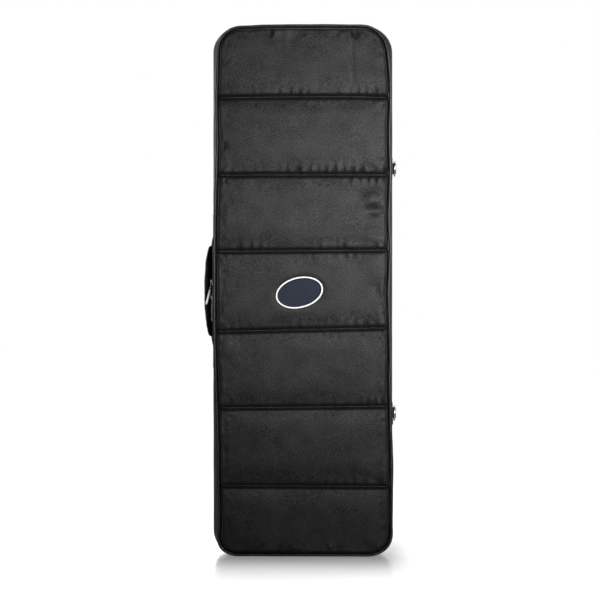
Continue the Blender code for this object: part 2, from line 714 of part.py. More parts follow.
def make_ring_anchor(label, centre_z, parent, patch_cloth, webbing, metal):
    """A patch sewn to the spine, the webbing loop on it, and the D-ring that turns in the loop."""
    half = RING_PATCH / 2
    stations = [side_station(centre_z - half), side_station(centre_z + half)]
    patch = layer(stations, RING_PATCH_Y - half, RING_PATCH_Y + half, -FIT - FABRIC, FABRIC)
    finish(f"d_ring_patch_{label}", patch, patch_cloth, parent)
    radius = RING_WIRE / 2
    hole = radius + FIT
    outer = hole + LOOP_CLOTH
    loop_floor = FIT + FABRIC + FIT
    bar_offset = swell(RING_BAR_Y) + loop_floor + outer
    thick = 2 * LOOP_CLOTH
    tail = [RING_BAR_Y + LOOP_LENGTH * share for share in LOOP_TAIL_SHARES]
    profile = [(y, swell(y) + loop_floor) for y in tail]
    profile += [(y, swell(y) + loop_floor + thick) for y in reversed(tail)]
    for step in range(LOOP_WRAP_STEPS + 1):
        angle = math.radians(LOOP_WRAP_START_DEGREES + LOOP_WRAP_DEGREES * step / LOOP_WRAP_STEPS)
        profile.append((RING_BAR_Y + outer * math.cos(angle), bar_offset + outer * math.sin(angle)))

    def side_point(a, b, offset):
        return Vector((HALF_WIDTH + b, a, centre_z + offset))

    loop = finish(f"d_ring_loop_{label}", prism(profile, LOOP_WIDTH, side_point), webbing, parent)
    bore_outline = [(RING_BAR_Y + a, bar_offset + b) for a, b in rounded(hole, hole, 1)]
    drill = finish(f"d_ring_bore_{label}", prism(bore_outline, 2 * LOOP_WIDTH, side_point), webbing, parent)
    join(loop, [drill], "DIFFERENCE")
    ring_place = (HALF_WIDTH + bar_offset, RING_BAR_Y, centre_z)
    finish(f"d_ring_{label}", d_ring(), metal, place=ring_place)


def d_ring():
    """The D of round wire, its bar on the local Z axis and its bow towards -Y."""
    radius = RING_WIRE / 2
    reach = RING_WIDTH / 2 - radius
    far = RING_DEPTH - 2 * radius
    bow = far - RING_CORNER
    bend = []
    for step in range(RING_CORNER_STEPS + 1):
        angle = math.radians(90 * step / RING_CORNER_STEPS)
        bend.append((RING_CORNER * (math.cos(angle) - 1), reach + RING_CORNER * (math.sin(angle) - 1)))
    centre = list(bend)
    for step in range(1, RING_BOW_STEPS):
        angle = math.radians(180 * step / RING_BOW_STEPS)
        centre.append((-RING_CORNER - bow * math.sin(angle), reach * math.cos(angle)))
    centre += [(y, -z) for y, z in reversed(bend)]
    loops = []
    count = len(centre)
    for i, (y, z) in enumerate(centre):
        before, after = centre[i - 1], centre[(i + 1) % count]
        along = Vector((0, after[0] - before[0], after[1] - before[1])).normalized()
        side = Vector((0, -along.z, along.y))
        ring = []
        for step in range(PIPING_SIDES):
            angle = 2 * math.pi * step / PIPING_SIDES
            around = side * math.cos(angle) + Vector((1, 0, 0)) * math.sin(angle)
            ring.append(Vector((0, y, z)) + around * radius)
        loops.append(ring)
    return loft(loops, ring=True)


def badge_ring(share, lift, inset=0):
    """An ellipse of points lying on the front cover, lift metres above it."""
    tilt = math.radians(BADGE_TILT_DEGREES)
    reach_a = (BADGE_LENGTH / 2 - inset) * share
    reach_b = (BADGE_HEIGHT / 2 - inset) * share
    points = []
    for step in range(BADGE_SEGMENTS):
        angle = 2 * math.pi * step / BADGE_SEGMENTS
        across, up = reach_a * math.cos(angle), reach_b * math.sin(angle)
        x = BADGE_X + across * math.cos(tilt) - up * math.sin(tilt)
        z = BADGE_Z + across * math.sin(tilt) + up * math.cos(tilt)
        points.append(Vector((x, cover_front(x, z) - lift, z)))
    return points


def make_badge(parent, plate_surface, rim_surface):
    """The dark oval plate and its raised rim, both following the crown of the cover."""
    low, high = FIT, FIT + BADGE_PLATE
    outside, inside = BADGE_EDGE, BADGE_EDGE + BADGE_RIM_WIDTH

    def plate_face(lift):
        rings = [badge_ring(share, lift) for share in BADGE_RING_SHARES]
        return rings + [badge_ring(1, lift, inset) for inset in (inside, outside, 0)]

    finish("badge_plate", loft(plate_face(low) + plate_face(high)[::-1]), plate_surface, parent)
    foot, top = high + FIT, high + FIT + BADGE_RIM
    rim = [badge_ring(1, foot, outside), badge_ring(1, top, outside)]
    rim += [badge_ring(1, top, inside), badge_ring(1, foot, inside)]
    finish("badge_rim", loft(rim, ring=True), rim_surface, parent)


def main():
    clear_scene()
    cloth = material("black_polyester", (0.035, 0.035, 0.038), 0.85)
    cord = material("black_piping", (0.02, 0.02, 0.022), 0.6)
    foam = material("grey_foam", (0.25, 0.25, 0.26), 0.95)
    lining = material("black_lining", (0.05, 0.05, 0.055), 0.8)
    tape = material("black_zip_tape", (0.03, 0.03, 0.03), 0.8)
    coil = material("black_zip_coil", (0.02, 0.02, 0.02), 0.4)
    nickel = material("nickel", (0.75, 0.75, 0.74), 0.3, 1.0)
    grip = material("grey_pull_grip", (0.6, 0.6, 0.6), 0.4)
    padding = material("black_padding", (0.02, 0.02, 0.022), 0.8)
    webbing = material("black_webbing", (0.02, 0.02, 0.022), 0.75)
    navy = material("navy_badge", (0.012, 0.014, 0.022), 0.4)
    white = material("white_rim", (0.8, 0.8, 0.8), 0.5)

    surface_at_zip = HALF_WIDTH + swell(ZIP_Y)
    base = frame("base")
    lid = frame("lid", (surface_at_zip, ZIP_Y, 0))
    handle = frame("handle", (-HALF_WIDTH - handle_inside(), HANDLE_Y, HANDLE_Z))

    front_lining_y = make_front(lid, cloth, foam, lining, cord)
    back_lining_y = make_back(base, cloth, foam, lining, cord)
    make_gusset("lid", lid, cloth, foam, lining, -COVER_EDGE_Y, -1, LID_GUSSET_FOAM, front_lining_y)
    make_gusset("base", base, cloth, foam, lining, COVER_EDGE_Y, 1, BASE_GUSSET_FOAM, back_lining_y)
    make_zip_half("lid", lid, tape, coil, -1)
    make_zip_half("base", base, tape, coil, 1)
    make_spine_fold(base, cloth)
    make_badge(lid, navy, white)
    make_handle(handle, base, padding, webbing)

    out_tilt = math.radians(PULL_OUT_TILT_DEGREES)
    side_tilt = math.radians(PULL_SIDE_TILT_DEGREES)
    facing_left = Euler((0, 0, math.pi)).to_matrix()
    upside_down = facing_left @ Euler((math.pi, 0, 0)).to_matrix()
    leaning = Matrix.Rotation(-side_tilt, 3, "X") @ Matrix.Rotation(out_tilt, 3, "Y") @ facing_left
    levels = (("upper", UPPER_SLIDER_Z, facing_left, leaning), ("lower", LOWER_SLIDER_Z, upside_down, facing_left))
    for label, z, slider_turn, pull_turn in levels:
        slider_place = (-surface_at_zip, ZIP_Y, z)
        pull_place = (-surface_at_zip - pull_level(), ZIP_Y, z)
        carrier = frame(f"slider_{label}_body", slider_place)
        make_slider(f"slider_{label}", carrier, nickel, slider_place, slider_turn.to_euler())
        swing = frame(f"pull_{label}_body", pull_place)
        make_pull(f"pull_{label}", swing, nickel, grip, pull_place, pull_turn.to_euler())

    for label, centre_z in zip(("lower", "upper"), RING_CENTRES_Z):
        make_ring_anchor(label, centre_z, base, cloth, webbing, nickel)


main()
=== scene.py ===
"""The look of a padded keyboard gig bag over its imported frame, in metres, with +Z up and the front at -Y."""

import math

import bmesh
import bpy
import numpy as np
from mathutils import Matrix, Vector, noise


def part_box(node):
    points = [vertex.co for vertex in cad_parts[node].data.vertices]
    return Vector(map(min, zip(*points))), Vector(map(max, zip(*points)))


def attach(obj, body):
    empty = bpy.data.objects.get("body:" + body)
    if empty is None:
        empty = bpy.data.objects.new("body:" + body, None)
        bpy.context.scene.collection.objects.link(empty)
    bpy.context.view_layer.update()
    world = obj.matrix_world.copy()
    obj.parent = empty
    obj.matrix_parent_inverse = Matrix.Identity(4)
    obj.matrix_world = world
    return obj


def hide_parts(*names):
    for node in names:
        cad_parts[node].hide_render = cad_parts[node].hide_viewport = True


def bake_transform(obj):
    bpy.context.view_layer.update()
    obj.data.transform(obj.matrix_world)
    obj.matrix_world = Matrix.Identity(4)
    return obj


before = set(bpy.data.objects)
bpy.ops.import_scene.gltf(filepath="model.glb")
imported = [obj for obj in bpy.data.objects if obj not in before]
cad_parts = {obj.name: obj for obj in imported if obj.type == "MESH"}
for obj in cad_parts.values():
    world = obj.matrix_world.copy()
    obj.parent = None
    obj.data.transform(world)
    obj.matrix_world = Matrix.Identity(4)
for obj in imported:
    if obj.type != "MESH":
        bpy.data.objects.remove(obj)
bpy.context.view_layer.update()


def centre_of(node):
    """The middle of a CAD node's box."""
    low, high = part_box(node)
    return [(a + b) / 2 for a, b in zip(low, high)]


# Sizes read from the frame
piping_low, piping_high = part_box("front_piping")
PIPING_RADIUS = (piping_high[1] - piping_low[1]) / 2
PIPING_Y = -(piping_high[1] + piping_low[1]) / 2
HALF_WIDTH = piping_high[0] - PIPING_RADIUS
LINE_LOW = piping_low[2] + PIPING_RADIUS
LINE_HIGH = piping_high[2] - PIPING_RADIUS
MIDDLE_Z = (LINE_LOW + LINE_HIGH) / 2
END_RISE = LINE_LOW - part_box("base_gusset_cover")[0][2]
SIDE_RISE = -HALF_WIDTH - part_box("base_gusset_cover")[0][0]
SPINE_LOW, SPINE_HIGH = [corner[2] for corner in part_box("spine_fold")]
ZIP_Y = centre_of("spine_fold")[1]
FRONT_PAD_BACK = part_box("front_foam")[1][1]
BACK_PAD_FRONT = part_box("back_foam")[0][1]
HANDLE_LOW, HANDLE_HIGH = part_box("handle_grip")
HANDLE_Y, HANDLE_Z = centre_of("handle_grip")[1:]
BADGE_X, _, BADGE_Z = centre_of("badge_plate")
RING_LEVELS = np.array([centre_of(f"d_ring_{label}")[2] for label in ("lower", "upper")])

# Photograph: its scale on the front plane, and the pixel of the bag's middle
METRES_PER_PIXEL = 0.001874
MIDDLE_PX = (302.3, 290.2)

# The piping's line, and the gusset's section outside it
LINE_RADIUS = 0.04525
SIDE_SQUARENESS = 4
END_SHOULDER = 0.009

# Thicknesses of cloth, lining and foam, and the air between layers
CLOTH = 0.0012
LINING = 0.0008
FIT = 0.0003
LID_FOAM = 0.005
BASE_FOAM = 0.010

# The gusset beside the zip: half the gap, the rolled hem, the tape under it and where the foam starts
OPENING = 0.006
HEM_WIDTH = 0.0075
HEM_THICKNESS = 0.0027
TAPE_DEPTH = 0.0030
TAPE_WIDTH = 0.013
TAPE_START = 0.001
TAPE = 0.0008
FOAM_START = 0.0143
EDGE_Y = PIPING_Y - PIPING_RADIUS - FIT
PANEL_INSET = PIPING_RADIUS + FIT

# Quilting seams of the front, as shares of the bag's height at its left and right
BAG_HEIGHT = 1.000
SEAM_LEFT_SHARES = (0.1336, 0.2792, 0.4226, 0.5727, 0.7161, 0.8626)
SEAM_RIGHT_SHARES = (0.1325, 0.2830, 0.4299, 0.5751, 0.7161, 0.8626)
CROWN = 0.0115
SEAM_HEIGHT = 0.0012


def smooth(value):
    """A soft step from 0 to 1 for values from 0 to 1."""
    value = np.clip(value, 0, 1)
    return value * value * (3 - 2 * value)


def rough(points, scale, seed):
    """Smooth noise from about -1 to 1 at each point, its features about 1 / scale metres wide."""
    flat = np.asarray(points, float).reshape(-1, 3) * scale + seed
    values = [noise.noise(Vector(point)) for point in flat]
    return np.array(values).reshape(np.asarray(points).shape[:-1])


def xyz(x, y, z):
    """Points from coordinates, any of which can be a single number."""
    return np.stack(np.broadcast_arrays(x, y, z), axis=-1)


def unit(vectors):
    """The vectors with a length of 1."""
    return vectors / np.linalg.norm(vectors, axis=-1, keepdims=True)


def around(sides):
    """Even angles once round."""
    return 2 * math.pi * np.arange(sides) / sides


def lengths_along(points):
    """Running length along a row of points, from 0."""
    steps = np.linalg.norm(np.diff(np.asarray(points, float), axis=0), axis=1)
    return np.concatenate([[0], np.cumsum(steps)])


def read_at(at, run, rows):
    """Rows of values read at running lengths."""
    return np.stack([np.interp(at, run, column) for column in np.asarray(rows, float).T], axis=1)


def spaced(start, end, step):
    """Even places from start to end, about a step apart."""
    count = max(1, round(abs(end - start) / step))
    return list(np.linspace(start, end, count + 1))


def catmull_rom(p, t):
    """The curve through four values, t of the way from the second to the third."""
    a = 2 * p[1] + (p[2] - p[0]) * t + (2 * p[0] - 5 * p[1] + 4 * p[2] - p[3]) * t**2
    return (a + (3 * p[1] - p[0] - 3 * p[2] + p[3]) * t**3) / 2


def swell(y):
    """How far the long sides stand beyond the piping line at depth y."""
    return SIDE_RISE * (1 - (np.asarray(y) / PIPING_Y) ** SIDE_SQUARENESS)


def end_swell(y):
    """How far the short sides do."""
    share = np.clip((PIPING_Y - np.abs(y)) / END_SHOULDER, 0, 1)
    return END_RISE * (1 - (1 - share) ** 2)


# Settling, read off the photograph: at each pixel height, how many pixels to the right of the plain
# form the front's edge lies, and the gusset behind the zip
LEFT_FRONT_PX = (
    (24, 0.0), (45, 1.7), (60, 0.8), (75, 0.6), (97, -0.3), (120, 0.1), (142, 0.7), (165, -0.2), (195, -1.3),
    (240, -2.2), (285, -2.4), (345, -2.2), (370, -1.3), (400, -0.3), (430, 0.7), (455, 1.7), (480, 1.3),
    (510, 2.6), (530, 2.8), (543, -0.5), (557, -6.0),
)
RIGHT_FRONT_PX = (
    (24, -2.0), (45, -1.3), (60, 0.6), (80, 2.3), (100, 2.4), (130, 1.3), (150, 1.6), (172, 2.4), (195, 1.5),
    (218, 0.5), (248, 2.3), (270, 1.4), (292, 0.4), (320, 1.3), (360, 2.2), (382, 1.4), (410, 2.3),
    (430, 2.4), (450, 3.4), (500, 3.6), (530, 3.2), (543, 4.5), (557, 7.5),
)
LEFT_SIDE_PX = (
    (24, 1.5), (60, 1.4), (120, 1.5), (150, 1.2), (180, 0.2), (205, 0.0), (345, 0.1), (375, 0.5), (405, 1.2),
    (440, 2.3), (495, 2.2), (530, 1.2), (543, -1.5), (557, -6.0),
)
RIGHT_SIDE_PX = (
    (24, -3.0), (60, -2.3), (75, -1.5), (90, -0.8), (112, 0.3), (140, -0.4), (200, -0.7), (225, -1.4),
    (242, -0.4), (258, -0.7), (292, -2.2), (330, -1.4), (375, -1.5), (392, -0.6), (440, 0.5), (465, 1.9),
    (500, 0.9), (525, 0.4), (543, 2.0), (557, 6.0),
)
# Pixels by which the top edge lies lower, at pixels across
TOP_PX = ((215, 2.6), (243, 2.1), (262, 1.1), (290, 0.8), (330, 0.8), (360, 1.1), (374, 2.0), (391, 2.6))
SETTLE_SAMPLES = 400
SETTLE_BLUR = 11
SETTLE_POWER = 2.5
FORWARD_START = 0.030
FORWARD_RUN = 0.026
BEHIND_RUN = 0.014


def softened(table):
    """The table's values at even steps along it, without its kinks."""
    at, values = np.array(table).T
    places = np.linspace(at[0], at[-1], SETTLE_SAMPLES)
    row = np.pad(np.interp(places, at, values), SETTLE_BLUR, mode="edge")
    kernel = np.hanning(2 * SETTLE_BLUR + 1)
    return places, np.convolve(row, kernel / kernel.sum(), mode="valid") * METRES_PER_PIXEL


LEFT_FRONT, RIGHT_FRONT, LEFT_SIDE, RIGHT_SIDE, TOP = [
    softened(table) for table in (LEFT_FRONT_PX, RIGHT_FRONT_PX, LEFT_SIDE_PX, RIGHT_SIDE_PX, TOP_PX)
]


def settled(points):
    """The points after the bag has settled as the photograph shows it."""
    moved = np.array(points, float)
    x, y, z = moved[..., 0], moved[..., 1], moved[..., 2]
    rows = MIDDLE_PX[1] - (z - MIDDLE_Z) / METRES_PER_PIXEL
    forward = smooth((-y - FORWARD_START) / FORWARD_RUN)
    behind = smooth((y - ZIP_Y - HEM_WIDTH) / BEHIND_RUN)
    for side, front, beyond in ((-1, LEFT_FRONT, LEFT_SIDE), (1, RIGHT_FRONT, RIGHT_SIDE)):
        share = np.clip(side * x / HALF_WIDTH, 0, 1) ** SETTLE_POWER
        nearer = np.interp(rows, *front) * forward
        further = np.interp(rows, *beyond) * behind
        moved[..., 0] += share * (nearer + further)
    columns = MIDDLE_PX[0] + x / METRES_PER_PIXEL
    height = np.clip((z - MIDDLE_Z) / (LINE_HIGH - MIDDLE_Z), 0, 1) ** SETTLE_POWER
    moved[..., 2] -= height * np.interp(columns, *TOP)
    return moved


def grid_quads(rows, columns, ring_rows=False, ring_columns=False):
    """Row, column and four corners of each cell of a grid, whose rows or columns can close into rings."""
    row_count = rows if ring_rows else rows - 1
    column_count = columns if ring_columns else columns - 1
    i, j = [a.ravel() for a in np.meshgrid(np.arange(row_count), np.arange(column_count), indexing="ij")]
    after_i, after_j = (i + 1) % rows, (j + 1) % columns
    corners = (i * columns + j, i * columns + after_j, after_i * columns + after_j, after_i * columns + j)
    return i, j, np.stack(corners, axis=1).tolist()


def end_caps(rows, columns):
    """The grid's first and last row as two faces."""
    return [list(range(columns)), list(range((rows - 1) * columns, rows * columns))]


def mesh_of(name, points, faces):
    mesh = bpy.data.meshes.new(name)
    mesh.from_pydata(np.asarray(points, float).reshape(-1, 3).tolist(), [], faces)
    return mesh


def finished(name, mesh, surface, smooth_degrees=50):
    """An object of the mesh, its faces turned outwards, shaded smooth, with its material."""
    tidy = bmesh.new()
    tidy.from_mesh(mesh)
    bmesh.ops.recalc_face_normals(tidy, faces=tidy.faces)
    tidy.to_mesh(mesh)
    tidy.free()
    mesh.shade_smooth()
    mesh.set_sharp_from_angle(angle=math.radians(smooth_degrees))
    mesh.materials.append(surface)
    piece = bpy.data.objects.new(name, mesh)
    bpy.context.scene.collection.objects.link(piece)
    return piece


def grid_piece(name, grid, us, vs, surface, ring_rows=False, ring_columns=False, caps=False):
    """A piece over a grid of points, with UVs in metres."""
    rows, columns = np.shape(grid)[:2]
    i, j, faces = grid_quads(rows, columns, ring_rows, ring_columns)
    mesh = mesh_of(name, grid, faces + end_caps(rows, columns) if caps else faces)
    us, vs = np.asarray(us, float), np.asarray(vs, float)
    corners = [(us[a], vs[b]) for a, b in ((i, j), (i, j + 1), (i + 1, j + 1), (i + 1, j))]
    uvs = np.zeros((len(mesh.loops), 2))
    uvs[: 4 * len(i)] = np.array(corners).transpose(2, 0, 1).reshape(-1, 2)
    mesh.uv_layers.new(name="UVMap").data.foreach_set("uv", uvs.ravel())
    return finished(name, mesh, surface)


def many_tubes(name, tubes, surface):
    """One piece of many closed tubes, given by tube, ring and place round the ring."""
    count, rings, sides = tubes.shape[:3]
    each = grid_quads(rings, sides, ring_columns=True)[2] + end_caps(rings, sides)
    starts = range(0, count * rings * sides, rings * sides)
    faces = [[start + k for k in face] for start in starts for face in each]
    return finished(name, mesh_of(name, tubes, faces), surface)


def dress(piece, body, slot, *nodes):
    """Rides the piece on its body in place of the CAD nodes that it stands for."""
    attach(piece, body)
    if nodes:
        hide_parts(*nodes)
    return piece


# Line of the piping round a panel, which every gusset and zip piece follows
STRAIGHT_SPACING = 0.004
CORNER_STEPS = 18


def straight(start, end, out):
    """Stations (x, z, outward x, outward z) along a straight side, without its end."""
    count = max(1, round(math.dist(start, end) / STRAIGHT_SPACING))
    return [(*(np.array(start) + (np.array(end) - start) * k / count), *out) for k in range(count)]


def arc(centre_x, centre_z, start, end):
    """Stations round a corner between two angles in degrees, without its end."""
    stations = []
    for step in range(CORNER_STEPS):
        angle = math.radians(start + (end - start) * step / CORNER_STEPS)
        out = (math.cos(angle), math.sin(angle))
        stations.append((centre_x + LINE_RADIUS * out[0], centre_z + LINE_RADIUS * out[1], *out))
    return stations


def line_stations(start_z, end_z):
    """Stations from the right side at start_z round the bottom, left and top to end_z."""
    middle = HALF_WIDTH - LINE_RADIUS
    low, high = LINE_LOW + LINE_RADIUS, LINE_HIGH - LINE_RADIUS
    stations = straight((HALF_WIDTH, start_z), (HALF_WIDTH, low), (1, 0)) + arc(middle, low, 0, -90)
    stations += straight((middle, LINE_LOW), (-middle, LINE_LOW), (0, -1)) + arc(-middle, low, -90, -180)
    stations += straight((-HALF_WIDTH, low), (-HALF_WIDTH, high), (-1, 0)) + arc(-middle, high, 180, 90)
    stations += straight((-middle, LINE_HIGH), (middle, LINE_HIGH), (0, 1)) + arc(middle, high, 90, 0)
    stations += straight((HALF_WIDTH, high), (HALF_WIDTH, end_z), (1, 0))
    stations.append((HALF_WIDTH, end_z, 1, 0))
    return np.array(stations)


def spine_stations():
    """Stations up the right side, along the spine."""
    z = spaced(SPINE_LOW, SPINE_HIGH, STRAIGHT_SPACING)
    return np.stack(np.broadcast_arrays(HALF_WIDTH, z, 1, 0), axis=1)


GUSSET_LINE = line_stations(SPINE_LOW - FIT, SPINE_HIGH + FIT)
GUSSET_OUT = xyz(GUSSET_LINE[:, 2], 0, GUSSET_LINE[:, 3])
SPINE_LINE = spine_stations()

# Softness of the gusset: how far its cloth wanders from the plain form, and where it is held still
GUSSET_WANDER = 0.0011
GUSSET_WANDER_SCALE = 14
GUSSET_WANDER_SEED = 3.7
HELD_RUN = 0.02
RING_CALM_REACH = 0.026
HANDLE_CALM_REACH = 0.150
CALM_RUN = 0.030
END_CALM_SHARE = 0.44
END_CALM_RUN = 0.05


def softness(x, y, z, out_x):
    """How far a gusset point lies outside the plain form. It fades out at the pipings and the zip."""
    free = smooth((PIPING_Y - np.abs(y)) / HELD_RUN) * smooth(np.abs(y - ZIP_Y) / HELD_RUN)
    wander = GUSSET_WANDER * rough(xyz(x, y, z), GUSSET_WANDER_SCALE, GUSSET_WANDER_SEED)
    height = (z - MIDDLE_Z) / BAG_HEIGHT
    right = smooth((np.abs(z[..., None] - RING_LEVELS).min(axis=-1) - RING_CALM_REACH) / CALM_RUN)
    left = smooth((np.abs(z - HANDLE_Z) - HANDLE_CALM_REACH) / CALM_RUN)
    calm = np.where(out_x > 0.5, right, np.where(out_x < -0.5, left, 1.0))
    return calm * free * out_x**2 * wander * smooth((END_CALM_SHARE - np.abs(height)) / END_CALM_RUN)


def on_gusset(stations, ys, depths, soft=True):
    """Points under the gusset's surface: one row per station, one column per pair of y and depth."""
    x, z, out_x, out_z = [stations[:, k : k + 1] for k in range(4)]
    ys = np.asarray(ys)[None, :]
    away = out_x**2 * swell(ys) + out_z**2 * end_swell(ys) - np.asarray(depths)[None, :]
    if soft:
        away = away + softness(*np.broadcast_arrays(x, ys, z, out_x))
    return settled(xyz(x + out_x * away, ys, z + out_z * away))


def on_right_side(ys, zs, lifts):
    """Points lying lifts metres above the right side's cloth."""
    ys, zs, lifts = np.broadcast_arrays(ys, zs, lifts)
    away = swell(ys) + softness(np.full_like(ys, HALF_WIDTH), ys, zs, np.ones_like(ys)) + lifts
    return settled(xyz(HALF_WIDTH + away, ys, zs))


# Procedural materials, their noise in features per metre
WEAR_SCALE = 28.0
SPECK_SCALE = 420.0
FLECK_SCALE = 1100.0
CLOTH_TONE = 0.42
SPECK_CONTRAST = 1.2
WEAR_CONTRAST = 0.45
THREAD_CONTRAST = 0.16
CLOTH_SHEEN_ROUGHNESS = 0.45
WEAVE_RELIEF = 0.20
FLECK_RELIEF = 0.9
RIB_PITCH = 0.0016
RIB_THREAD_PITCH = 0.0009
RIB_RELIEF = 0.0005
WEBBING_FLECK_SCALE = 900.0
METAL_PATCH_SCALE = 160.0
SCRATCH_SCALE = 2600.0
SCRATCH_DEPTH = 0.00003
RUBBED_SCALE = 90.0
TWIST_SCALE = 3000.0
TWIST_DEPTH = 0.0001


class Nodes:
    """A node tree, with small helpers to fill it."""

    def __init__(self, tree):
        self.tree = tree

    def feed(self, socket, value):
        """Gives a socket a colour, a number or another node's output."""
        if isinstance(value, tuple):
            socket.default_value = (*value, 1)
        elif isinstance(value, (int, float)):
            socket.default_value = value
        else:
            self.tree.links.new(value, socket)

    def new(self, kind, *values, **named):
        """A node of the kind, its inputs fed in order or by name."""
        node = self.tree.nodes.new("ShaderNode" + kind)
        for socket, value in zip(node.inputs, values):
            self.feed(socket, value)
        for name, value in named.items():
            self.feed(node.inputs[name.replace("_", " ")], value)
        return node

    def math(self, operation, a, b=0.0, c=0.0):
        node = self.new("Math", a, b, c)
        node.operation = operation
        return node.outputs[0]

    def between(self, amount, low, high):
        """amount from 0 to 1 mapped to low to high."""
        return self.math("MULTIPLY_ADD", amount, high - low, low)

    def uneven(self, value, amount, base):
        """base made uneven by a noise, which is about 0.5 on average."""
        return self.math("MULTIPLY_ADD", self.math("SUBTRACT", value, 0.5), amount, base)

    def fading(self, value, reach, power):
        """1 where the value is 0, falling softly to 0 beyond the reach."""
        share = self.math("POWER", self.math("DIVIDE", value, reach), power)
        return self.math("EXPONENT", self.math("MULTIPLY", share, -1.0))

    def seen_by(self, kind):
        """1 for rays of one kind and 0 for all others."""
        return self.new("LightPath").outputs[f"Is {kind} Ray"]


class Shade(Nodes):
    """One Principled material."""

    def __init__(self, name, **values):
        self.material = bpy.data.materials.new(name)
        self.material.use_nodes = True
        super().__init__(self.material.node_tree)
        self.shader = self.tree.nodes["Principled BSDF"]
        self.set(**values)

    def set(self, **values):
        for name, value in values.items():
            self.feed(self.shader.inputs[name.replace("_", " ")], value)

    def uv(self):
        node = self.new("UVMap")
        node.uv_map = "UVMap"
        return self.new("SeparateXYZ", node.outputs[0]).outputs[:2]

    def noise(self, scale, detail):
        place = self.new("TexCoord").outputs["Object"]
        return self.new("TexNoise", Vector=place, Scale=scale, Detail=detail).outputs[0]

    def mix_colours(self, amount, first, second):
        node = self.new("Mix")
        node.data_type = "RGBA"
        for name, value in (("Factor", amount), ("A", first), ("B", second)):
            self.feed(node.inputs[name], value)
        return node.outputs["Result"]

    def bump(self, height, distance, strength):
        self.set(Normal=self.new("Bump", Height=height, Distance=distance, Strength=strength).outputs[0])


WEAVE_STRENGTH = 0.5
WEBBING_SHEEN = {"Roughness": 0.6, "Sheen_Weight": 0.15, "Specular_IOR_Level": 0.4}
WEBBING_FLECK = 0.8
HERRINGBONE_CONTRAST = 0.3
RIB_STRENGTH = 0.9
METAL_ROUGHNESS_SHARES = (0.6, 1.5)
SCRATCH_STRENGTH = 0.5
RUBBED_ROUGHNESS_SHARES = (0.8, 1.2)
GRAIN_STRENGTH = 0.6
THREAD_SHEEN = 0.2
TWIST_STRENGTH = 0.6


def woven(shade, pitch_u, pitch_v, turn_degrees=0):
    """Height of a plain weave with those thread spacings, from 0 to 1, and which thread is on top."""
    u, v = shade.uv()
    if turn_degrees:
        c, s = math.cos(math.radians(turn_degrees)), math.sin(math.radians(turn_degrees))
        across = shade.math("MULTIPLY_ADD", u, c, shade.math("MULTIPLY", v, s))
        v = shade.math("MULTIPLY_ADD", v, c, shade.math("MULTIPLY", u, -s))
        u = across
    turns = [
        shade.math("SINE", shade.math("MULTIPLY", shade.math("DIVIDE", along, pitch), math.pi))
        for along, pitch in ((u, pitch_u), (v, pitch_v))
    ]
    over = shade.math("GREATER_THAN", shade.math("MULTIPLY", *turns), 0.0)
    bows = [shade.math("ABSOLUTE", turn) for turn in turns]
    thread, crossing = [
        shade.math("MULTIPLY", shade.math("SQRT", bow), shade.math("MULTIPLY_ADD", other, 0.5, 0.5))
        for bow, other in (bows, bows[::-1])
    ]
    rest = shade.math("SUBTRACT", 1.0, over)
    return shade.math("MULTIPLY_ADD", rest, crossing, shade.math("MULTIPLY", over, thread)), over


def cloth_material(name, colours, pitch, roughness, sheen, turn_degrees=0, grain=0.5, shine=(0.1, 0.2)):
    """Woven cloth: thread relief, threads of slightly unlike tone, and slow patches of wear."""
    shade = Shade(name, Roughness=roughness, Sheen_Weight=sheen, Sheen_Roughness=CLOTH_SHEEN_ROUGHNESS)
    height, over = woven(shade, pitch, pitch, turn_degrees)
    fleck = shade.noise(FLECK_SCALE, 1.0)
    tone = shade.uneven(shade.noise(SPECK_SCALE, 1.0), SPECK_CONTRAST * grain, CLOTH_TONE)
    tone = shade.uneven(shade.noise(WEAR_SCALE, 3.0), WEAR_CONTRAST, tone)
    tone = shade.math("MULTIPLY_ADD", over, THREAD_CONTRAST, tone)
    tone = shade.math("MINIMUM", shade.math("MAXIMUM", tone, 0.0), 1.0)
    shade.set(Base_Color=shade.mix_colours(tone, *colours), Specular_IOR_Level=shade.between(tone, *shine))
    shade.bump(shade.math("MULTIPLY_ADD", fleck, FLECK_RELIEF, height), pitch * WEAVE_RELIEF, WEAVE_STRENGTH)
    return shade.material


def webbing_material(name, dark, light):
    """Webbing: ribs across its width with a herringbone of threads."""
    shade = Shade(name, **WEBBING_SHEEN)
    height, over = woven(shade, RIB_PITCH, RIB_THREAD_PITCH)
    fleck = shade.math("MULTIPLY", shade.noise(WEBBING_FLECK_SCALE, 1.0), WEBBING_FLECK)
    tone = shade.math("MULTIPLY_ADD", over, HERRINGBONE_CONTRAST, fleck)
    shade.set(Base_Color=shade.mix_colours(tone, dark, light))
    shade.bump(height, RIB_RELIEF, RIB_STRENGTH)
    return shade.material


def metal_material(name, colour, roughness):
    """Polished metal with fine scratches and slightly duller patches."""
    shade = Shade(name, Metallic=1.0, Base_Color=colour)
    patch = shade.noise(METAL_PATCH_SCALE, 3.0)
    shade.set(Roughness=shade.between(patch, *[roughness * share for share in METAL_ROUGHNESS_SHARES]))
    shade.bump(shade.noise(SCRATCH_SCALE, 2.0), SCRATCH_DEPTH, SCRATCH_STRENGTH)
    return shade.material


def moulded_material(name, colour, worn, roughness, grain_scale, grain_height, shine=0.5):
    """Moulded rubber or plastic with a fine grain and rubbed patches."""
    shade = Shade(name, Specular_IOR_Level=shine)
    patch = shade.noise(RUBBED_SCALE, 3.0)
    shade.set(Base_Color=shade.mix_colours(patch, colour, worn))
    shade.set(Roughness=shade.between(patch, *[roughness * share for share in RUBBED_ROUGHNESS_SHARES]))
    shade.bump(shade.noise(grain_scale, 2.0), grain_height, GRAIN_STRENGTH)
    return shade.material


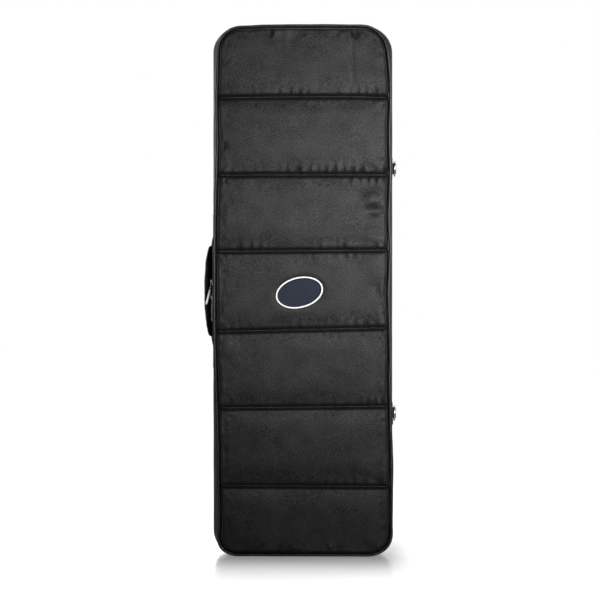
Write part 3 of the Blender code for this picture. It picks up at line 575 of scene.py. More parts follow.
def thread_material(name, colour, roughness):
    """Twisted sewing thread."""
    shade = Shade(name, Roughness=roughness, Sheen_Weight=THREAD_SHEEN, Base_Color=colour)
    shade.bump(shade.noise(TWIST_SCALE, 1.0), TWIST_DEPTH, TWIST_STRENGTH)
    return shade.material


BLACK = ((0.004, 0.004, 0.0042), (0.015, 0.015, 0.0156))
PIPING_BLACK = ((0.004, 0.004, 0.0045), (0.014, 0.014, 0.015))
LINING_GREY = ((0.020, 0.020, 0.022), (0.050, 0.050, 0.055))
HANDLE_BLACK = ((0.004, 0.004, 0.005), (0.016, 0.016, 0.018))
TAPE_GREY = ((0.010, 0.010, 0.011), (0.034, 0.034, 0.036))
NAVY = ((0.010, 0.013, 0.024), (0.014, 0.018, 0.032))
PALE = ((0.76, 0.76, 0.76), (0.82, 0.82, 0.82))
POLYESTER = cloth_material("polyester_600", BLACK, 0.0008, 0.41, 0.0, 0, 1.0, (0.0, 0.25))
SIDE_CLOTH = cloth_material("polyester_side", BLACK, 0.0008, 0.41, 0.0, 0, 1.0, (0.02, 0.21))
PIPING_CLOTH = cloth_material("polyester_piping", PIPING_BLACK, 0.0006, 0.30, 0.0, 45, 0.25, (0.15, 0.35))
LINING_CLOTH = cloth_material("nylon_lining", LINING_GREY, 0.0005, 0.5, 0.2, 0, 0.2)
PADDING_CLOTH = cloth_material("handle_cloth", HANDLE_BLACK, 0.0006, 0.7, 0.1)
TAPE_CLOTH = cloth_material("zip_tape_cloth", TAPE_GREY, 0.0009, 0.7, 0.1)
FOAM = moulded_material("grey_foam", (0.20, 0.20, 0.21), (0.27, 0.27, 0.28), 0.95, 500.0, 0.0006)
COIL = moulded_material("zip_coil_nylon", (0.012, 0.012, 0.013), (0.022, 0.022, 0.024), 0.35, 1500.0, 0.00005)
WEBBING = webbing_material("black_webbing", (0.006, 0.006, 0.007), (0.028, 0.028, 0.030))
NICKEL = metal_material("polished_nickel", (0.83, 0.82, 0.79), 0.22)
PULL_GREY = moulded_material("pull_moulding", (0.60, 0.60, 0.60), (0.72, 0.72, 0.71), 0.35, 900.0, 0.00008)
BADGE_FIELD = moulded_material("badge_navy", *NAVY, 0.6, 1200.0, 0.00012, 0.12)
BADGE_WHITE = moulded_material("badge_rim_white", *PALE, 0.4, 1200.0, 0.00008)
SEAM_THREAD = thread_material("seam_thread", (0.13, 0.13, 0.135), 0.45)
DARK_THREAD = thread_material("dark_thread", (0.035, 0.035, 0.037), 0.5)


# Stitches: short capsules that dip into the cloth at both ends
STITCH_RING_SHARES = (-0.5, -0.4, -0.2, 0.2, 0.4, 0.5)
STITCH_RADIUS_SHARES = (0.3, 0.8, 1.0, 1.0, 0.8, 0.3)
STITCH_SIDES = 6
STITCH_BOW = 1.2
# Pitch, length, radius and thread of the stitches in each kind of seam
QUILTING_SEAM = (0.0036, 0.0030, 0.00038, SEAM_THREAD)
TOP_SEAM = (0.0034, 0.0027, 0.0003, DARK_THREAD)
HANDLE_SEAM = (0.0034, 0.0027, 0.00032, DARK_THREAD)
TAIL_SEAM = (0.0032, 0.0026, 0.00032, DARK_THREAD)
PATCH_SEAM = (0.0032, 0.0026, 0.0003, DARK_THREAD)
LOOP_SEAM = (0.0026, 0.0022, 0.0003, DARK_THREAD)
FRONT, LEFT, RIGHT = (0, -1, 0), (-1, 0, 0), (1, 0, 0)


def stitches(name, places, alongs, tops, length, radius, surface):
    """One piece of many stitches, each at a place, lying along a direction with its top turned outwards."""
    alongs, tops = unit(alongs), unit(tops)
    sides = np.cross(alongs, tops)
    points = []
    for share, thick in zip(STITCH_RING_SHARES, STITCH_RADIUS_SHARES):
        lift = radius * (1 - (2 * share) ** 2) * STITCH_BOW
        for angle in around(STITCH_SIDES):
            offset = lift + radius * thick * math.cos(angle)
            point = places + alongs * (share * length) + tops * offset
            points.append(point + sides * (radius * thick * math.sin(angle)))
    shape = (len(places), len(STITCH_RING_SHARES), STITCH_SIDES, 3)
    return many_tubes(name, np.stack(points, axis=1).reshape(shape), surface)


def row_of_stitches(line, out, pitch):
    """Places, directions and outward directions every pitch along a line of points."""
    run = lengths_along(line)
    at = np.arange(pitch / 2, run[-1], pitch)
    ahead, behind = read_at(at + pitch / 4, run, line), read_at(at - pitch / 4, run, line)
    return read_at(at, run, line), ahead - behind, read_at(at, run, np.broadcast_to(out, np.shape(line)))


def stitched(name, lines, out, seam, body, slot):
    """Dresses the lines of points with stitches, whose tops point out."""
    pitch, length, radius, thread = seam
    rows = [row_of_stitches(line, out, pitch) for line in lines]
    places, alongs, tops = [np.concatenate(parts) for parts in zip(*rows)]
    dress(stitches(name, places, alongs, tops, length, radius, thread), body, slot)


# Front panel: seven channels between six seams, with the puckers and creases of the photograph
BADGE_TILT_DEGREES = 14
BADGE_LENGTH = 0.091
BADGE_HEIGHT = 0.059
# The cloth is drawn in round the badge by its stitching
BADGE_SINK = 0.0011
BADGE_SINK_RUN = 0.0028
BROAD_RUN = 0.050
BROAD_POWER = 2.2
BROAD_SHARE = 0.25
VALLEY_RUN = 0.0028
VALLEY_POWER = 1.5
EDGE_VALLEY_DEPTH = 0.0034
EDGE_VALLEY_RUN = 0.0030
EDGE_RUN = 0.0070
EDGE_POWER = 2.4
# Folds along the seams: each seam from the bottom up, with how much it puckers at the left and the right
PUCKER_LEFT_SHARES = (0.15, 0.15, 0.2, 0.35, 0.15, 0.25)
PUCKER_RIGHT_SHARES = (0.35, 0.3, 0.35, 0.75, 1.0, 0.45)
PUCKER_TURN, PUCKER_TURN_START = 1.7, 0.45
PUCKER_SPACING = 0.018
PUCKER_HEIGHT = 0.0048
PUCKER_REACH = 0.0056
PUCKER_FALL = 1.25
PUCKER_BELOW_SHARE = 0.4
PUCKER_SEAM_STEP = 3.1
PUCKER_WANDER, PUCKER_WANDER_SCALE, PUCKER_WANDER_SEED = 0.9, 16, 5.1
PUCKER_STRENGTH, PUCKER_STRENGTH_CHANGE, PUCKER_STRENGTH_MOST = 0.55, 1.1, 1.3
PUCKER_STRENGTH_SCALE, PUCKER_STRENGTH_SEED = 30, 9.3
PUCKER_DIP, PUCKER_TOP = 1.6, 0.35
# Gathers along the piping (share, scale and seed of each), and the slow and fine unevenness of the cloth
GATHER_HEIGHT = 0.0009
GATHER_REACH = 0.008
GATHERS = ((1.0, 55, 21.0), (0.6, 120, 2.0))
SLOW_HEIGHT, SLOW_SCALE, SLOW_SEED = 0.0011, 11, 1.3
RIPPLE_HEIGHT, RIPPLE_SCALE, RIPPLE_SEED, RIPPLE_STRETCH = 0.00016, 26, 7.7, (1.4, 1, 1)
FINE_HEIGHT, FINE_SCALE, FINE_SEED = 0.00012, 160, 4.4
UNEVEN_RUN = 0.012
# Dents and ridges: pixel x, pixel y, half width and half height in metres, height in metres
CREASES_PX = (
    (219, 195, 0.006, 0.007, -0.0026), (223, 146, 0.006, 0.007, -0.0024), (221, 219, 0.005, 0.006, -0.0010),
    (222, 450, 0.006, 0.010, -0.0018), (275, 29, 0.0035, 0.010, 0.0022), (270, 31, 0.0040, 0.010, -0.0016),
    (356, 33, 0.0070, 0.009, -0.0030), (350, 34, 0.0050, 0.016, 0.0016), (352, 62, 0.0050, 0.060, -0.0007),
    (292, 40, 0.0080, 0.014, -0.0010), (330, 547, 0.0050, 0.010, 0.0020), (336, 548, 0.0050, 0.010, -0.0018),
    (296, 549, 0.0040, 0.006, 0.0016), (288, 549, 0.0050, 0.006, -0.0014), (371, 199, 0.0170, 0.0150, 0.0028),
    (374, 211, 0.0180, 0.0100, -0.0036), (386, 212, 0.0040, 0.0040, -0.0012),
    (373, 287, 0.0110, 0.0120, -0.0014), (382, 289, 0.0065, 0.0100, 0.0018),
    (381, 306, 0.0050, 0.0060, -0.0012), (224, 178, 0.006, 0.005, 0.0008), (226, 180, 0.004, 0.004, -0.0012),
)


def seam_heights(x):
    """The z of every seam at each x: one row per seam."""
    x = np.asarray(x, float)
    share = (x.ravel() + HALF_WIDTH) / (2 * HALF_WIDTH)
    left, right = np.array(SEAM_LEFT_SHARES)[:, None], np.array(SEAM_RIGHT_SHARES)[:, None]
    return (BAG_HEIGHT * (left * (1 - share) + right * share)).reshape(-1, *x.shape)


def seam_distance(x, z):
    """How far points lie from the nearest seam."""
    return np.abs(z - seam_heights(x)).min(axis=0)


def inside_edge(x, z, inset=PANEL_INSET):
    """How far points of a panel lie inside an outline that is inset from the piping line."""
    across = HALF_WIDTH - np.abs(x)
    along = np.minimum(z - LINE_LOW, LINE_HIGH - z)
    rounded = LINE_RADIUS - np.hypot(LINE_RADIUS - across, LINE_RADIUS - along)
    in_corner = (across < LINE_RADIUS) & (along < LINE_RADIUS)
    return np.where(in_corner, rounded, np.minimum(across, along)) - inset


def channel_rise(x, z):
    """Plain height of the quilted front over the piping's plane."""
    distance = seam_distance(x, z)
    broad = 1 - (1 - np.clip(distance / BROAD_RUN, 0, 1)) ** BROAD_POWER
    valley = 1 - np.exp(-((distance / VALLEY_RUN) ** VALLEY_POWER))
    rise = SEAM_HEIGHT + (CROWN - SEAM_HEIGHT) * (BROAD_SHARE * broad + (1 - BROAD_SHARE) * valley)
    inside = np.clip(inside_edge(x, z) / EDGE_RUN, 0, 1)
    return rise * (1 - (1 - inside) ** EDGE_POWER)


def puckers(x, z):
    """Short folds that run away from each seam, offset above and below it."""
    total = np.zeros_like(x)
    share = smooth((x + HALF_WIDTH) / (2 * HALF_WIDTH) * PUCKER_TURN - PUCKER_TURN_START)
    seams = zip(seam_heights(x), PUCKER_LEFT_SHARES, PUCKER_RIGHT_SHARES)
    for seam, (level, left, right) in enumerate(seams):
        away = z - level
        line = xyz(x, seam * PUCKER_SEAM_STEP, np.sign(away))
        wander = PUCKER_WANDER * rough(line, PUCKER_WANDER_SCALE, PUCKER_WANDER_SEED)
        change = PUCKER_STRENGTH_CHANGE * rough(line, PUCKER_STRENGTH_SCALE, PUCKER_STRENGTH_SEED)
        strength = np.clip(PUCKER_STRENGTH + change, 0, PUCKER_STRENGTH_MOST)
        phase = x / PUCKER_SPACING + wander + np.where(away > 0, 0, 0.5)
        fold = np.minimum(PUCKER_DIP * np.cos(2 * math.pi * phase), PUCKER_TOP)
        reach = np.abs(away) / PUCKER_REACH
        amount = (left * (1 - share) + right * share) * np.where(away > 0, 1, PUCKER_BELOW_SHARE)
        total += amount * strength * PUCKER_HEIGHT * fold * reach * np.exp(1 - reach * PUCKER_FALL)
    return total


def edge_puckers(x, z):
    """Small gathers where the panel is sewn to the piping."""
    points = xyz(x, 0, z)
    gather = sum(share * rough(points, scale, seed) for share, scale, seed in GATHERS)
    reach = inside_edge(x, z) / GATHER_REACH
    return GATHER_HEIGHT * gather * reach * np.exp(1 - reach)


def creases(x, z):
    """The photograph's dents and ridges."""
    total = np.zeros_like(x)
    for px, py, wide, tall, height in CREASES_PX:
        at_x = (px - MIDDLE_PX[0]) * METRES_PER_PIXEL
        at_z = MIDDLE_Z - (py - MIDDLE_PX[1]) * METRES_PER_PIXEL
        total += height * np.exp(-(((x - at_x) / wide) ** 2) - ((z - at_z) / tall) ** 2)
    return total


def beyond_badge(x, z):
    """Distance outside the badge's outline, and none under the badge."""
    tilt = math.radians(BADGE_TILT_DEGREES)
    across = (x - BADGE_X) * math.cos(tilt) + (z - BADGE_Z) * math.sin(tilt)
    up = (z - BADGE_Z) * math.cos(tilt) - (x - BADGE_X) * math.sin(tilt)
    share = np.hypot(across / (BADGE_LENGTH / 2), up / (BADGE_HEIGHT / 2))
    return np.maximum(share - 1, 0) * BADGE_HEIGHT / 2


def front_height(x, z):
    """Height of the finished front over the piping's plane."""
    points = xyz(x, 0, z)
    slow = SLOW_HEIGHT * rough(points, SLOW_SCALE, SLOW_SEED)
    slow += RIPPLE_HEIGHT * rough(points * RIPPLE_STRETCH, RIPPLE_SCALE, RIPPLE_SEED)
    fine = FINE_HEIGHT * rough(points, FINE_SCALE, FINE_SEED)
    inside = smooth(inside_edge(x, z) / UNEVEN_RUN)
    edge = 1 - smooth(inside_edge(x, z) / EDGE_VALLEY_RUN)
    rise = channel_rise(x, z) + puckers(x, z) + edge_puckers(x, z)
    flat = rise + inside * (slow + fine + creases(x, z)) - EDGE_VALLEY_DEPTH * edge
    return flat - BADGE_SINK * np.exp(-((beyond_badge(x, z) / BADGE_SINK_RUN) ** 2))


FRONT_COLUMNS = 150
FRONT_ROW_STEP = 0.0024
CORNER_ROWS = 20
PAD_SMOOTH_DEGREES = 60
# How far the rows draw together next to a seam, and the columns towards the sides
SEAM_CLOSENESS = 0.11
SIDE_CLOSENESS = 0.82


def panel_grid(inset, columns, row_step, seams=False):
    """Rows of (x, z) over a panel inside the outline that is inset from the piping line.

    With seams, a row lies along each seam.
    """
    radius, half = LINE_RADIUS - inset, HALF_WIDTH - inset
    low, high = LINE_LOW + LINE_RADIUS, LINE_HIGH - LINE_RADIUS
    quarter = math.pi / 2
    shares = np.sin(np.linspace(-1, 1, columns + 1) * quarter * SIDE_CLOSENESS)
    shares = shares / math.sin(quarter * SIDE_CLOSENESS)
    angles = quarter * np.arange(CORNER_ROWS) / CORNER_ROWS
    turn = [(half - radius + radius * math.sin(angle), radius * math.cos(angle)) for angle in angles]
    rows = [(reach, low - drop) for reach, drop in turn]
    stops = [low, *seam_heights(0)] if seams else [low]
    stops.append(high)
    for start, end in zip(stops, stops[1:]):
        steps = np.linspace(0, 1, len(spaced(start, end, row_step)))[:-1]
        closer = steps - SEAM_CLOSENESS * np.sin(2 * math.pi * steps) * seams
        rows += [(half, z) for z in start + (end - start) * closer]
    rows.append((half, high))
    rows += [(reach, high + rise) for reach, rise in turn[::-1]]
    reach, z = np.array(rows).T
    x, z = np.broadcast_arrays(reach[:, None] * shares, z[:, None])
    if seams:
        slopes = (seam_heights(HALF_WIDTH) - seam_heights(-HALF_WIDTH)) / (2 * HALF_WIDTH)
        z = z + x * np.interp(z, stops, [0, *slopes, 0])
    return x, z


def rim_indices(rows, columns):
    """The grid's border, once round, as pairs of row and column."""
    rim = [(0, j) for j in range(columns)]
    rim += [(i, columns - 1) for i in range(1, rows - 1)]
    rim += [(rows - 1, j) for j in range(columns - 1, -1, -1)]
    rim += [(i, 0) for i in range(rows - 2, 0, -1)]
    return np.array(rim)


def pad_piece(name, x, z, face_y, edge_loops, surface):
    """A closed pad: a face over the grid, and a border through loops of (inset, y) to a flat back."""
    rows, columns = x.shape
    surface_points = xyz(x, face_y, z)
    rim = rim_indices(rows, columns)
    edge = surface_points[rim[:, 0], rim[:, 1]]
    reach = HALF_WIDTH - LINE_RADIUS
    low, high = LINE_LOW + LINE_RADIUS, LINE_HIGH - LINE_RADIUS
    middle = np.stack([np.clip(edge[:, 0], -reach, reach), np.clip(edge[:, 2], low, high)], axis=1)
    out = unit(edge[:, (0, 2)] - middle)
    points = [surface_points.reshape(-1, 3)]
    for inset, y in edge_loops:
        points.append(xyz(edge[:, 0] - out[:, 0] * inset, y, edge[:, 2] - out[:, 1] * inset))
    faces = grid_quads(rows, columns)[2]
    count = len(rim)
    before = (rim[:, 0] * columns + rim[:, 1]).tolist()
    for start in range(rows * columns, rows * columns + count * len(edge_loops), count):
        after = list(range(start, start + count))
        corners = zip(before, before[1:] + before[:1], after[1:] + after[:1], after)
        faces += [list(face) for face in corners]
        before = after
    faces.append(before)
    points = np.concatenate(points)
    mesh = mesh_of(name, settled(points), faces)
    every = np.empty(len(mesh.loops), int)
    mesh.loops.foreach_get("vertex_index", every)
    mesh.uv_layers.new(name="UVMap").data.foreach_set("uv", points[every][:, (0, 2)].ravel())
    return finished(name, mesh, surface, PAD_SMOOTH_DEGREES)


# Cloth simulation of the front cover: held along its edge and seams, where the thread gathers it
SIM_COLUMNS = 84
SIM_ROW_STEP = 0.0042
SIM_FRAMES = 26
SIM_EDGE = 0.002
SIM_GATHER_REACH = 0.020
SIM_EDGE_GATHER, SIM_EDGE_GATHER_REACH = 0.6, 0.012
SIM_SETTINGS = {
    "quality": 5,
    "mass": 0.3,
    "air_damping": 2.0,
    "tension_stiffness": 30,
    "compression_stiffness": 30,
    "shear_stiffness": 8,
    "bending_stiffness": 0.15,
    "vertex_group_mass": "pins",
    "pin_stiffness": 1.0,
    "vertex_group_shrink": "gather",
    "shrink_min": 0.0,
    "shrink_max": -0.012,
    "use_pressure": True,
    "uniform_pressure_force": 0.6,
}
# The share of its movement that is kept, and the most that is kept of any
SIM_SHARE = 0.3
SIM_MOST = 0.0006


def cloth_settled(x, y, z):
    """How far a simulated cover comes to lie from the plain form, over the grid."""
    rows, columns = x.shape
    mesh = mesh_of("cover_cloth", xyz(x, y, z), grid_quads(rows, columns)[2])
    cover = bpy.data.objects.new("cover_cloth", mesh)
    scene = bpy.context.scene
    scene.collection.objects.link(cover)
    seam, edge = seam_distance(x, z), inside_edge(x, z)
    pinned = (seam < SIM_ROW_STEP / 4) | (edge < SIM_EDGE)
    cover.vertex_groups.new(name="pins").add(np.flatnonzero(pinned.ravel()).tolist(), 1.0, "REPLACE")
    beside_edge = SIM_EDGE_GATHER * np.exp(-((edge / SIM_EDGE_GATHER_REACH) ** 2))
    gathered = np.clip(np.maximum(np.exp(-((seam / SIM_GATHER_REACH) ** 2)), beside_edge), 0, 1)
    gather = cover.vertex_groups.new(name="gather")
    for index, weight in enumerate(gathered.ravel()):
        gather.add([index], float(weight), "REPLACE")
    cloth = cover.modifiers.new("cloth", "CLOTH")
    for setting, value in SIM_SETTINGS.items():
        setattr(cloth.settings, setting, value)
    cloth.settings.effector_weights.gravity = 0.0
    cloth.collision_settings.use_collision = False
    cloth.collision_settings.use_self_collision = False
    cloth.point_cache.frame_start = 1
    cloth.point_cache.frame_end = SIM_FRAMES
    for step in range(1, SIM_FRAMES + 1):
        scene.frame_set(step)
    lain = cover.evaluated_get(bpy.context.evaluated_depsgraph_get()).to_mesh()
    points = np.empty(len(lain.vertices) * 3)
    lain.vertices.foreach_get("co", points)
    moved = points.reshape(rows, columns, 3)[..., 1] - y
    scene.frame_set(1)
    bpy.data.objects.remove(cover)
    return SIM_MOST * np.tanh(moved * SIM_SHARE / SIM_MOST)


def resampled(values, places):
    """Rows of values read at fractional rows."""
    last = len(values) - 1
    at = np.clip(np.floor(places).astype(int), 0, last - 1)
    return catmull_rom([values[np.clip(at + d, 0, last)] for d in (-1, 0, 1, 2)], (places - at)[:, None])


def simulated_front(x, z):
    """The cover's simulated lie on the fine grid."""
    sim_x, sim_z = panel_grid(PANEL_INSET, SIM_COLUMNS, SIM_ROW_STEP, True)
    moved = cloth_settled(sim_x, -PIPING_Y - front_height(sim_x, sim_z), sim_z)
    middle_z, fine_z = sim_z[:, SIM_COLUMNS // 2], z[:, z.shape[1] // 2]
    down = resampled(moved, np.interp(fine_z, middle_z, np.arange(len(middle_z))))
    return resampled(down.T, np.linspace(0, SIM_COLUMNS, z.shape[1])).T


# Loops of a panel's border: inset and y
FRONT_BORDER = ((0.0006, -PIPING_Y + 0.0044), (0.0040, -PIPING_Y + 0.0060), (0.0044, FRONT_PAD_BACK))
BACK_BORDER = ((0.0004, PIPING_Y - 0.0016), (0.0090, PIPING_Y - 0.0050), (0.0094, BACK_PAD_FRONT))
QUILTING_END = 0.008
QUILTING_STEPS = 200
THREAD_SINK = 0.0002
BACK_COLUMNS = 70
BACK_ROW_STEP = 0.006
BACK_SLOPE = 0.016
BACK_WAVE, BACK_WAVE_SCALE, BACK_WAVE_SEED = 0.0006, 9, 2.2
BACK_WAVE_START, BACK_WAVE_RUN = 0.01, 0.05


def make_front():
    """The quilted front pad and the stitches of its seams."""
    x, z = panel_grid(PANEL_INSET, FRONT_COLUMNS, FRONT_ROW_STEP, True)
    face_y = -PIPING_Y - front_height(x, z) - CLOTH / 2
    face_y = face_y + simulated_front(x, z)
    pad = pad_piece("front_pad", x, z, face_y, FRONT_BORDER, POLYESTER)
    dress(pad, "lid", "polyester", "front_cover", "front_foam")
    across = np.linspace(-HALF_WIDTH + QUILTING_END, HALF_WIDTH - QUILTING_END, QUILTING_STEPS)
    lines = []
    for level in seam_heights(across):
        depth = -PIPING_Y - front_height(across, level) - CLOTH / 2
        lines.append(settled(xyz(across, depth + THREAD_SINK, level)))
    stitched("quilting_stitches", lines, FRONT, QUILTING_SEAM, "lid", "polyester")


def make_back():
    """The back panel: a flat padded middle that slopes to the piping all round."""
    x, z = panel_grid(PANEL_INSET, BACK_COLUMNS, BACK_ROW_STEP)
    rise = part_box("back_cover")[1][1] - CLOTH / 2 - PIPING_Y
    uneven = smooth((inside_edge(x, z, 0) - BACK_WAVE_START) / BACK_WAVE_RUN)
    waves = BACK_WAVE * (rough(xyz(x, 1, z), BACK_WAVE_SCALE, BACK_WAVE_SEED) - 1) * uneven
    face_y = PIPING_Y + rise * smooth(inside_edge(x, z) / BACK_SLOPE) + waves + CLOTH / 2
    pad = pad_piece("back_pad", x, z, face_y, BACK_BORDER, POLYESTER)
    dress(pad, "base", "polyester", "back_cover", "back_foam")


PIPING_SIDES = 14
PIPING_UNEVEN, PIPING_UNEVEN_SCALE, PIPING_UNEVEN_SEED = 0.05, 60, 8.0
PIPING_DRIFT, PIPING_DRIFT_SCALE, PIPING_DRIFT_SEED = 0.0004, 18, 3.0


def make_piping(name, y, body):
    """The covered cord round a panel, with a slight wander of its thickness."""
    x, z, out_x, out_z = line_stations(MIDDLE_Z, MIDDLE_Z)[:-1].T
    centre = xyz(x, y, z)
    radius = PIPING_RADIUS * (1 + PIPING_UNEVEN * rough(centre, PIPING_UNEVEN_SCALE, PIPING_UNEVEN_SEED))
    drift = PIPING_DRIFT * rough(centre, PIPING_DRIFT_SCALE, PIPING_DRIFT_SEED)
    rings = []
    for angle in around(PIPING_SIDES):
        away = radius * math.cos(angle) + drift
        rings.append(xyz(x + out_x * away, y + radius * math.sin(angle), z + out_z * away))
    us = lengths_along(centre)
    us = np.append(us, us[-1] + STRAIGHT_SPACING)
    vs = 2 * math.pi * PIPING_RADIUS * np.arange(PIPING_SIDES + 1) / PIPING_SIDES
    piece = grid_piece(name, settled(np.stack(rings, axis=1)), us, vs, PIPING_CLOTH, True, True)
    dress(piece, body, "piping", name.replace("_cord", ""))


def swept(name, stations, profile, surface, soft=True):
    """A closed strip along the stations, its section given as pairs of y and depth."""
    ys, depths = np.array(profile).T
    grid = on_gusset(stations, ys, depths, soft)
    vs = lengths_along([*profile, profile[0]])
    return grid_piece(name, grid, lengths_along(stations[:, :2]), vs, surface, ring_columns=True, caps=True)


def layer(ys, depth, thickness):
    """Section of an even layer: there along its outside, and back along its inside."""
    return [(y, depth) for y in ys] + [(y, depth + thickness) for y in reversed(ys)]


# Spacing of the points across a gusset, over its outer cloth and inside
COVER_STEP = 0.0035
INNER_STEP = 0.008
HEM_STEPS = 8
ZIP_STITCHES_AWAY = (0.0026, 0.0068)
STITCH_LIFT = 0.00005
FOAM_LABELS = (
    "bottom", "top", "zip_side", "low_spine_corner", "low_zip_corner", "high_zip_corner", "high_spine_corner"
)
# Each half of the bag: its side of the zip, its foam, and the y where its gusset's lining ends
HALVES = {
    "lid": (-1, LID_FOAM, FRONT_PAD_BACK + LINING + 2 * FIT),
    "base": (1, BASE_FOAM, BACK_PAD_FRONT - LINING - 2 * FIT),
}


def gusset_profile(side, foam):
    """Outer face, rolled hem, its underside and inner face of a gusset, for the lid (-1) or the base (1)."""
    edge, opening, start = side * EDGE_Y, ZIP_Y + side * OPENING, ZIP_Y + side * FOAM_START
    roll = HEM_THICKNESS / 2
    profile = [(y, 0) for y in spaced(edge, opening + side * roll, COVER_STEP)]
    for step in range(1, HEM_STEPS):
        angle = math.pi * step / HEM_STEPS
        profile.append((opening + side * roll * (1 - math.sin(angle)), roll * (1 - math.cos(angle))))
    profile += [(y, HEM_THICKNESS) for y in (opening + side * roll, opening + side * HEM_WIDTH, start)]
    return profile + [(y, CLOTH + FIT + foam) for y in spaced(start, edge, INNER_STEP)]


def stitch_line(stations, y):
    """A line along the gusset's cloth at depth y."""
    return on_gusset(stations, [y], [-STITCH_LIFT])[:, 0]


def make_gusset(half):
    """One gusset with its stitches along the zip."""
    side, foam, _ = HALVES[half]
    cover = swept(f"{half}_gusset_pad", GUSSET_LINE, gusset_profile(side, foam), SIDE_CLOTH)
    strips = [f"{half}_foam_{label}" for label in FOAM_LABELS]
    dress(cover, half, "polyester", f"{half}_gusset_cover", *strips)
    lines = [stitch_line(GUSSET_LINE, ZIP_Y + side * (OPENING + away)) for away in ZIP_STITCHES_AWAY]
    stitched(f"{half}_zip_stitches", lines, GUSSET_OUT, TOP_SEAM, half, "polyester")


LINING_COLUMNS = 60
LINING_EDGE_RUN = 0.02
LINING_WAVE, LINING_WAVE_SCALE, LINING_WAVE_SEED = 0.0009, 20, 6.0


def make_panel_lining(panel, half, y, side):
    """The smooth lining of a panel, drawn over its foam."""
    inset = CLOTH + FIT + HALVES[half][1] - END_RISE + FIT
    x, z = panel_grid(inset, LINING_COLUMNS, INNER_STEP)
    inside = smooth(inside_edge(x, z, inset) / LINING_EDGE_RUN)
    wave = LINING_WAVE * (1 + rough(xyz(x, y, z), LINING_WAVE_SCALE, LINING_WAVE_SEED)) / 2
    face_y = y + side * (LINING + inside * wave)
    pad = pad_piece(f"{panel}_panel_lining", x, z, face_y, [(0.0, y)], LINING_CLOTH)
    dress(pad, half, "lining", f"{panel}_lining")


def make_gusset_lining(half):
    """The strip inside a gusset, a plain piece for the lid and the base alike. The lid's is
    narrower than a sheet can be, so it is a plain piece.
    """
    side, foam, edge = HALVES[half]
    start, depth = ZIP_Y + side * FOAM_START, CLOTH + 2 * FIT + foam
    profile = [(y, depth) for y in spaced(edge, start, INNER_STEP)]
    profile += [(y, depth + LINING) for y in spaced(start, edge, INNER_STEP)]
    strip = swept(f"{half}_gusset_facing", GUSSET_LINE, profile, LINING_CLOTH, False)
    dress(strip, half, "lining", f"{half}_gusset_lining")
    if half == "base":
        flat = (abs(edge - start), lengths_along(GUSSET_LINE[:, :2])[-1])


# Spine: one cloth from base to lid that folds along the zip's plane
FOLD_STEP = 0.0006
FOLD_REACH = 0.0060
FOLD_BASE, FOLD_LID = ZIP_Y + FOLD_REACH, ZIP_Y - FOLD_REACH
SPINE_PAD_STEP = 0.006
SPINE_STITCHES_AWAY = 0.002
SPINE_LINING_SHARE = 0.6
# Where the spine's lining steps down from the foam: away from it, and how far up the step
STEP_AWAY = (0.0008, 0.001)
BASE_STEP_RISE, LID_STEP_RISE = 0.004, 0.002


def fold(piece, slot, *nodes):
    """Bakes a piece where it lies, attached to neither half, in place of its CAD nodes."""
    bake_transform(piece)
    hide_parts(*nodes)


def make_spine():
    """The spine's cloth, foam, lining and stitches."""
    ys = spaced(EDGE_Y, FOLD_BASE, COVER_STEP)[:-1]
    ys += spaced(FOLD_BASE, FOLD_LID, FOLD_STEP)
    ys += spaced(FOLD_LID, -EDGE_Y, COVER_STEP)[1:]
    cover = swept("spine_cloth", SPINE_LINE, layer(ys, 0, CLOTH), SIDE_CLOTH)
    fold(cover, "polyester", "base_spine_cover", "spine_fold", "lid_spine_cover")
    for half, (side, foam, _) in HALVES.items():
        levels = spaced(side * EDGE_Y, ZIP_Y + side * FOAM_START, SPINE_PAD_STEP)
        pad = swept(f"{half}_spine_pad", SPINE_LINE, layer(levels, CLOTH + FIT, foam), FOAM)
        dress(pad, half, "foam", f"{half}_foam_spine")
    near, far = ZIP_Y + FOAM_START, ZIP_Y - FOAM_START
    floor, deep_base, deep_lid = CLOTH + 2 * FIT, CLOTH + 2 * FIT + BASE_FOAM, CLOTH + 2 * FIT + LID_FOAM
    inner = [(y, deep_base) for y in spaced(HALVES["base"][2], near, INNER_STEP)]
    inner += [(near - STEP_AWAY[0], deep_base - BASE_STEP_RISE), (near - STEP_AWAY[1], CLOTH + 3 * FIT)]
    inner += [(y, floor) for y in spaced(FOLD_BASE, FOLD_LID, FOLD_STEP)]
    inner += [(far + STEP_AWAY[1], CLOTH + 3 * FIT), (far + STEP_AWAY[0], deep_lid - LID_STEP_RISE)]
    inner += [(y, deep_lid) for y in spaced(far, HALVES["lid"][2], INNER_STEP)]
    thick = [(y, depth + LINING * SPINE_LINING_SHARE) for y, depth in reversed(inner)]
    lining = swept("spine_lining", SPINE_LINE, inner + thick, LINING_CLOTH, False)
    fold(lining, "lining", "base_spine_lining", "lid_spine_lining")
    for half, y in (("base", FOLD_BASE + SPINE_STITCHES_AWAY), ("lid", FOLD_LID - SPINE_STITCHES_AWAY)):
        stitched(f"{half}_spine_stitches", [stitch_line(SPINE_LINE, y)], RIGHT, TOP_SEAM, half, "polyester")


# Zip: a tape and a coil on each side
ZIP_TAPE_STEP = 0.003
COIL_PITCH = 0.0016
COIL_WIRE = 0.00042
COIL_SIDES = 5
COIL_LEAN = 0.22
COIL_END_DEGREES = 35
# One turn of the coil from its tape over the head and back: away from the zip's line, and depth
COIL_TURN = (
    (0.0034, 0.0024), (0.0029, 0.0009), (0.0012, 0.0007), (0.0000, 0.0010), (-0.0003, 0.0016),
    (0.0003, 0.0022), (0.0016, 0.0025), (0.0030, 0.0026),
)


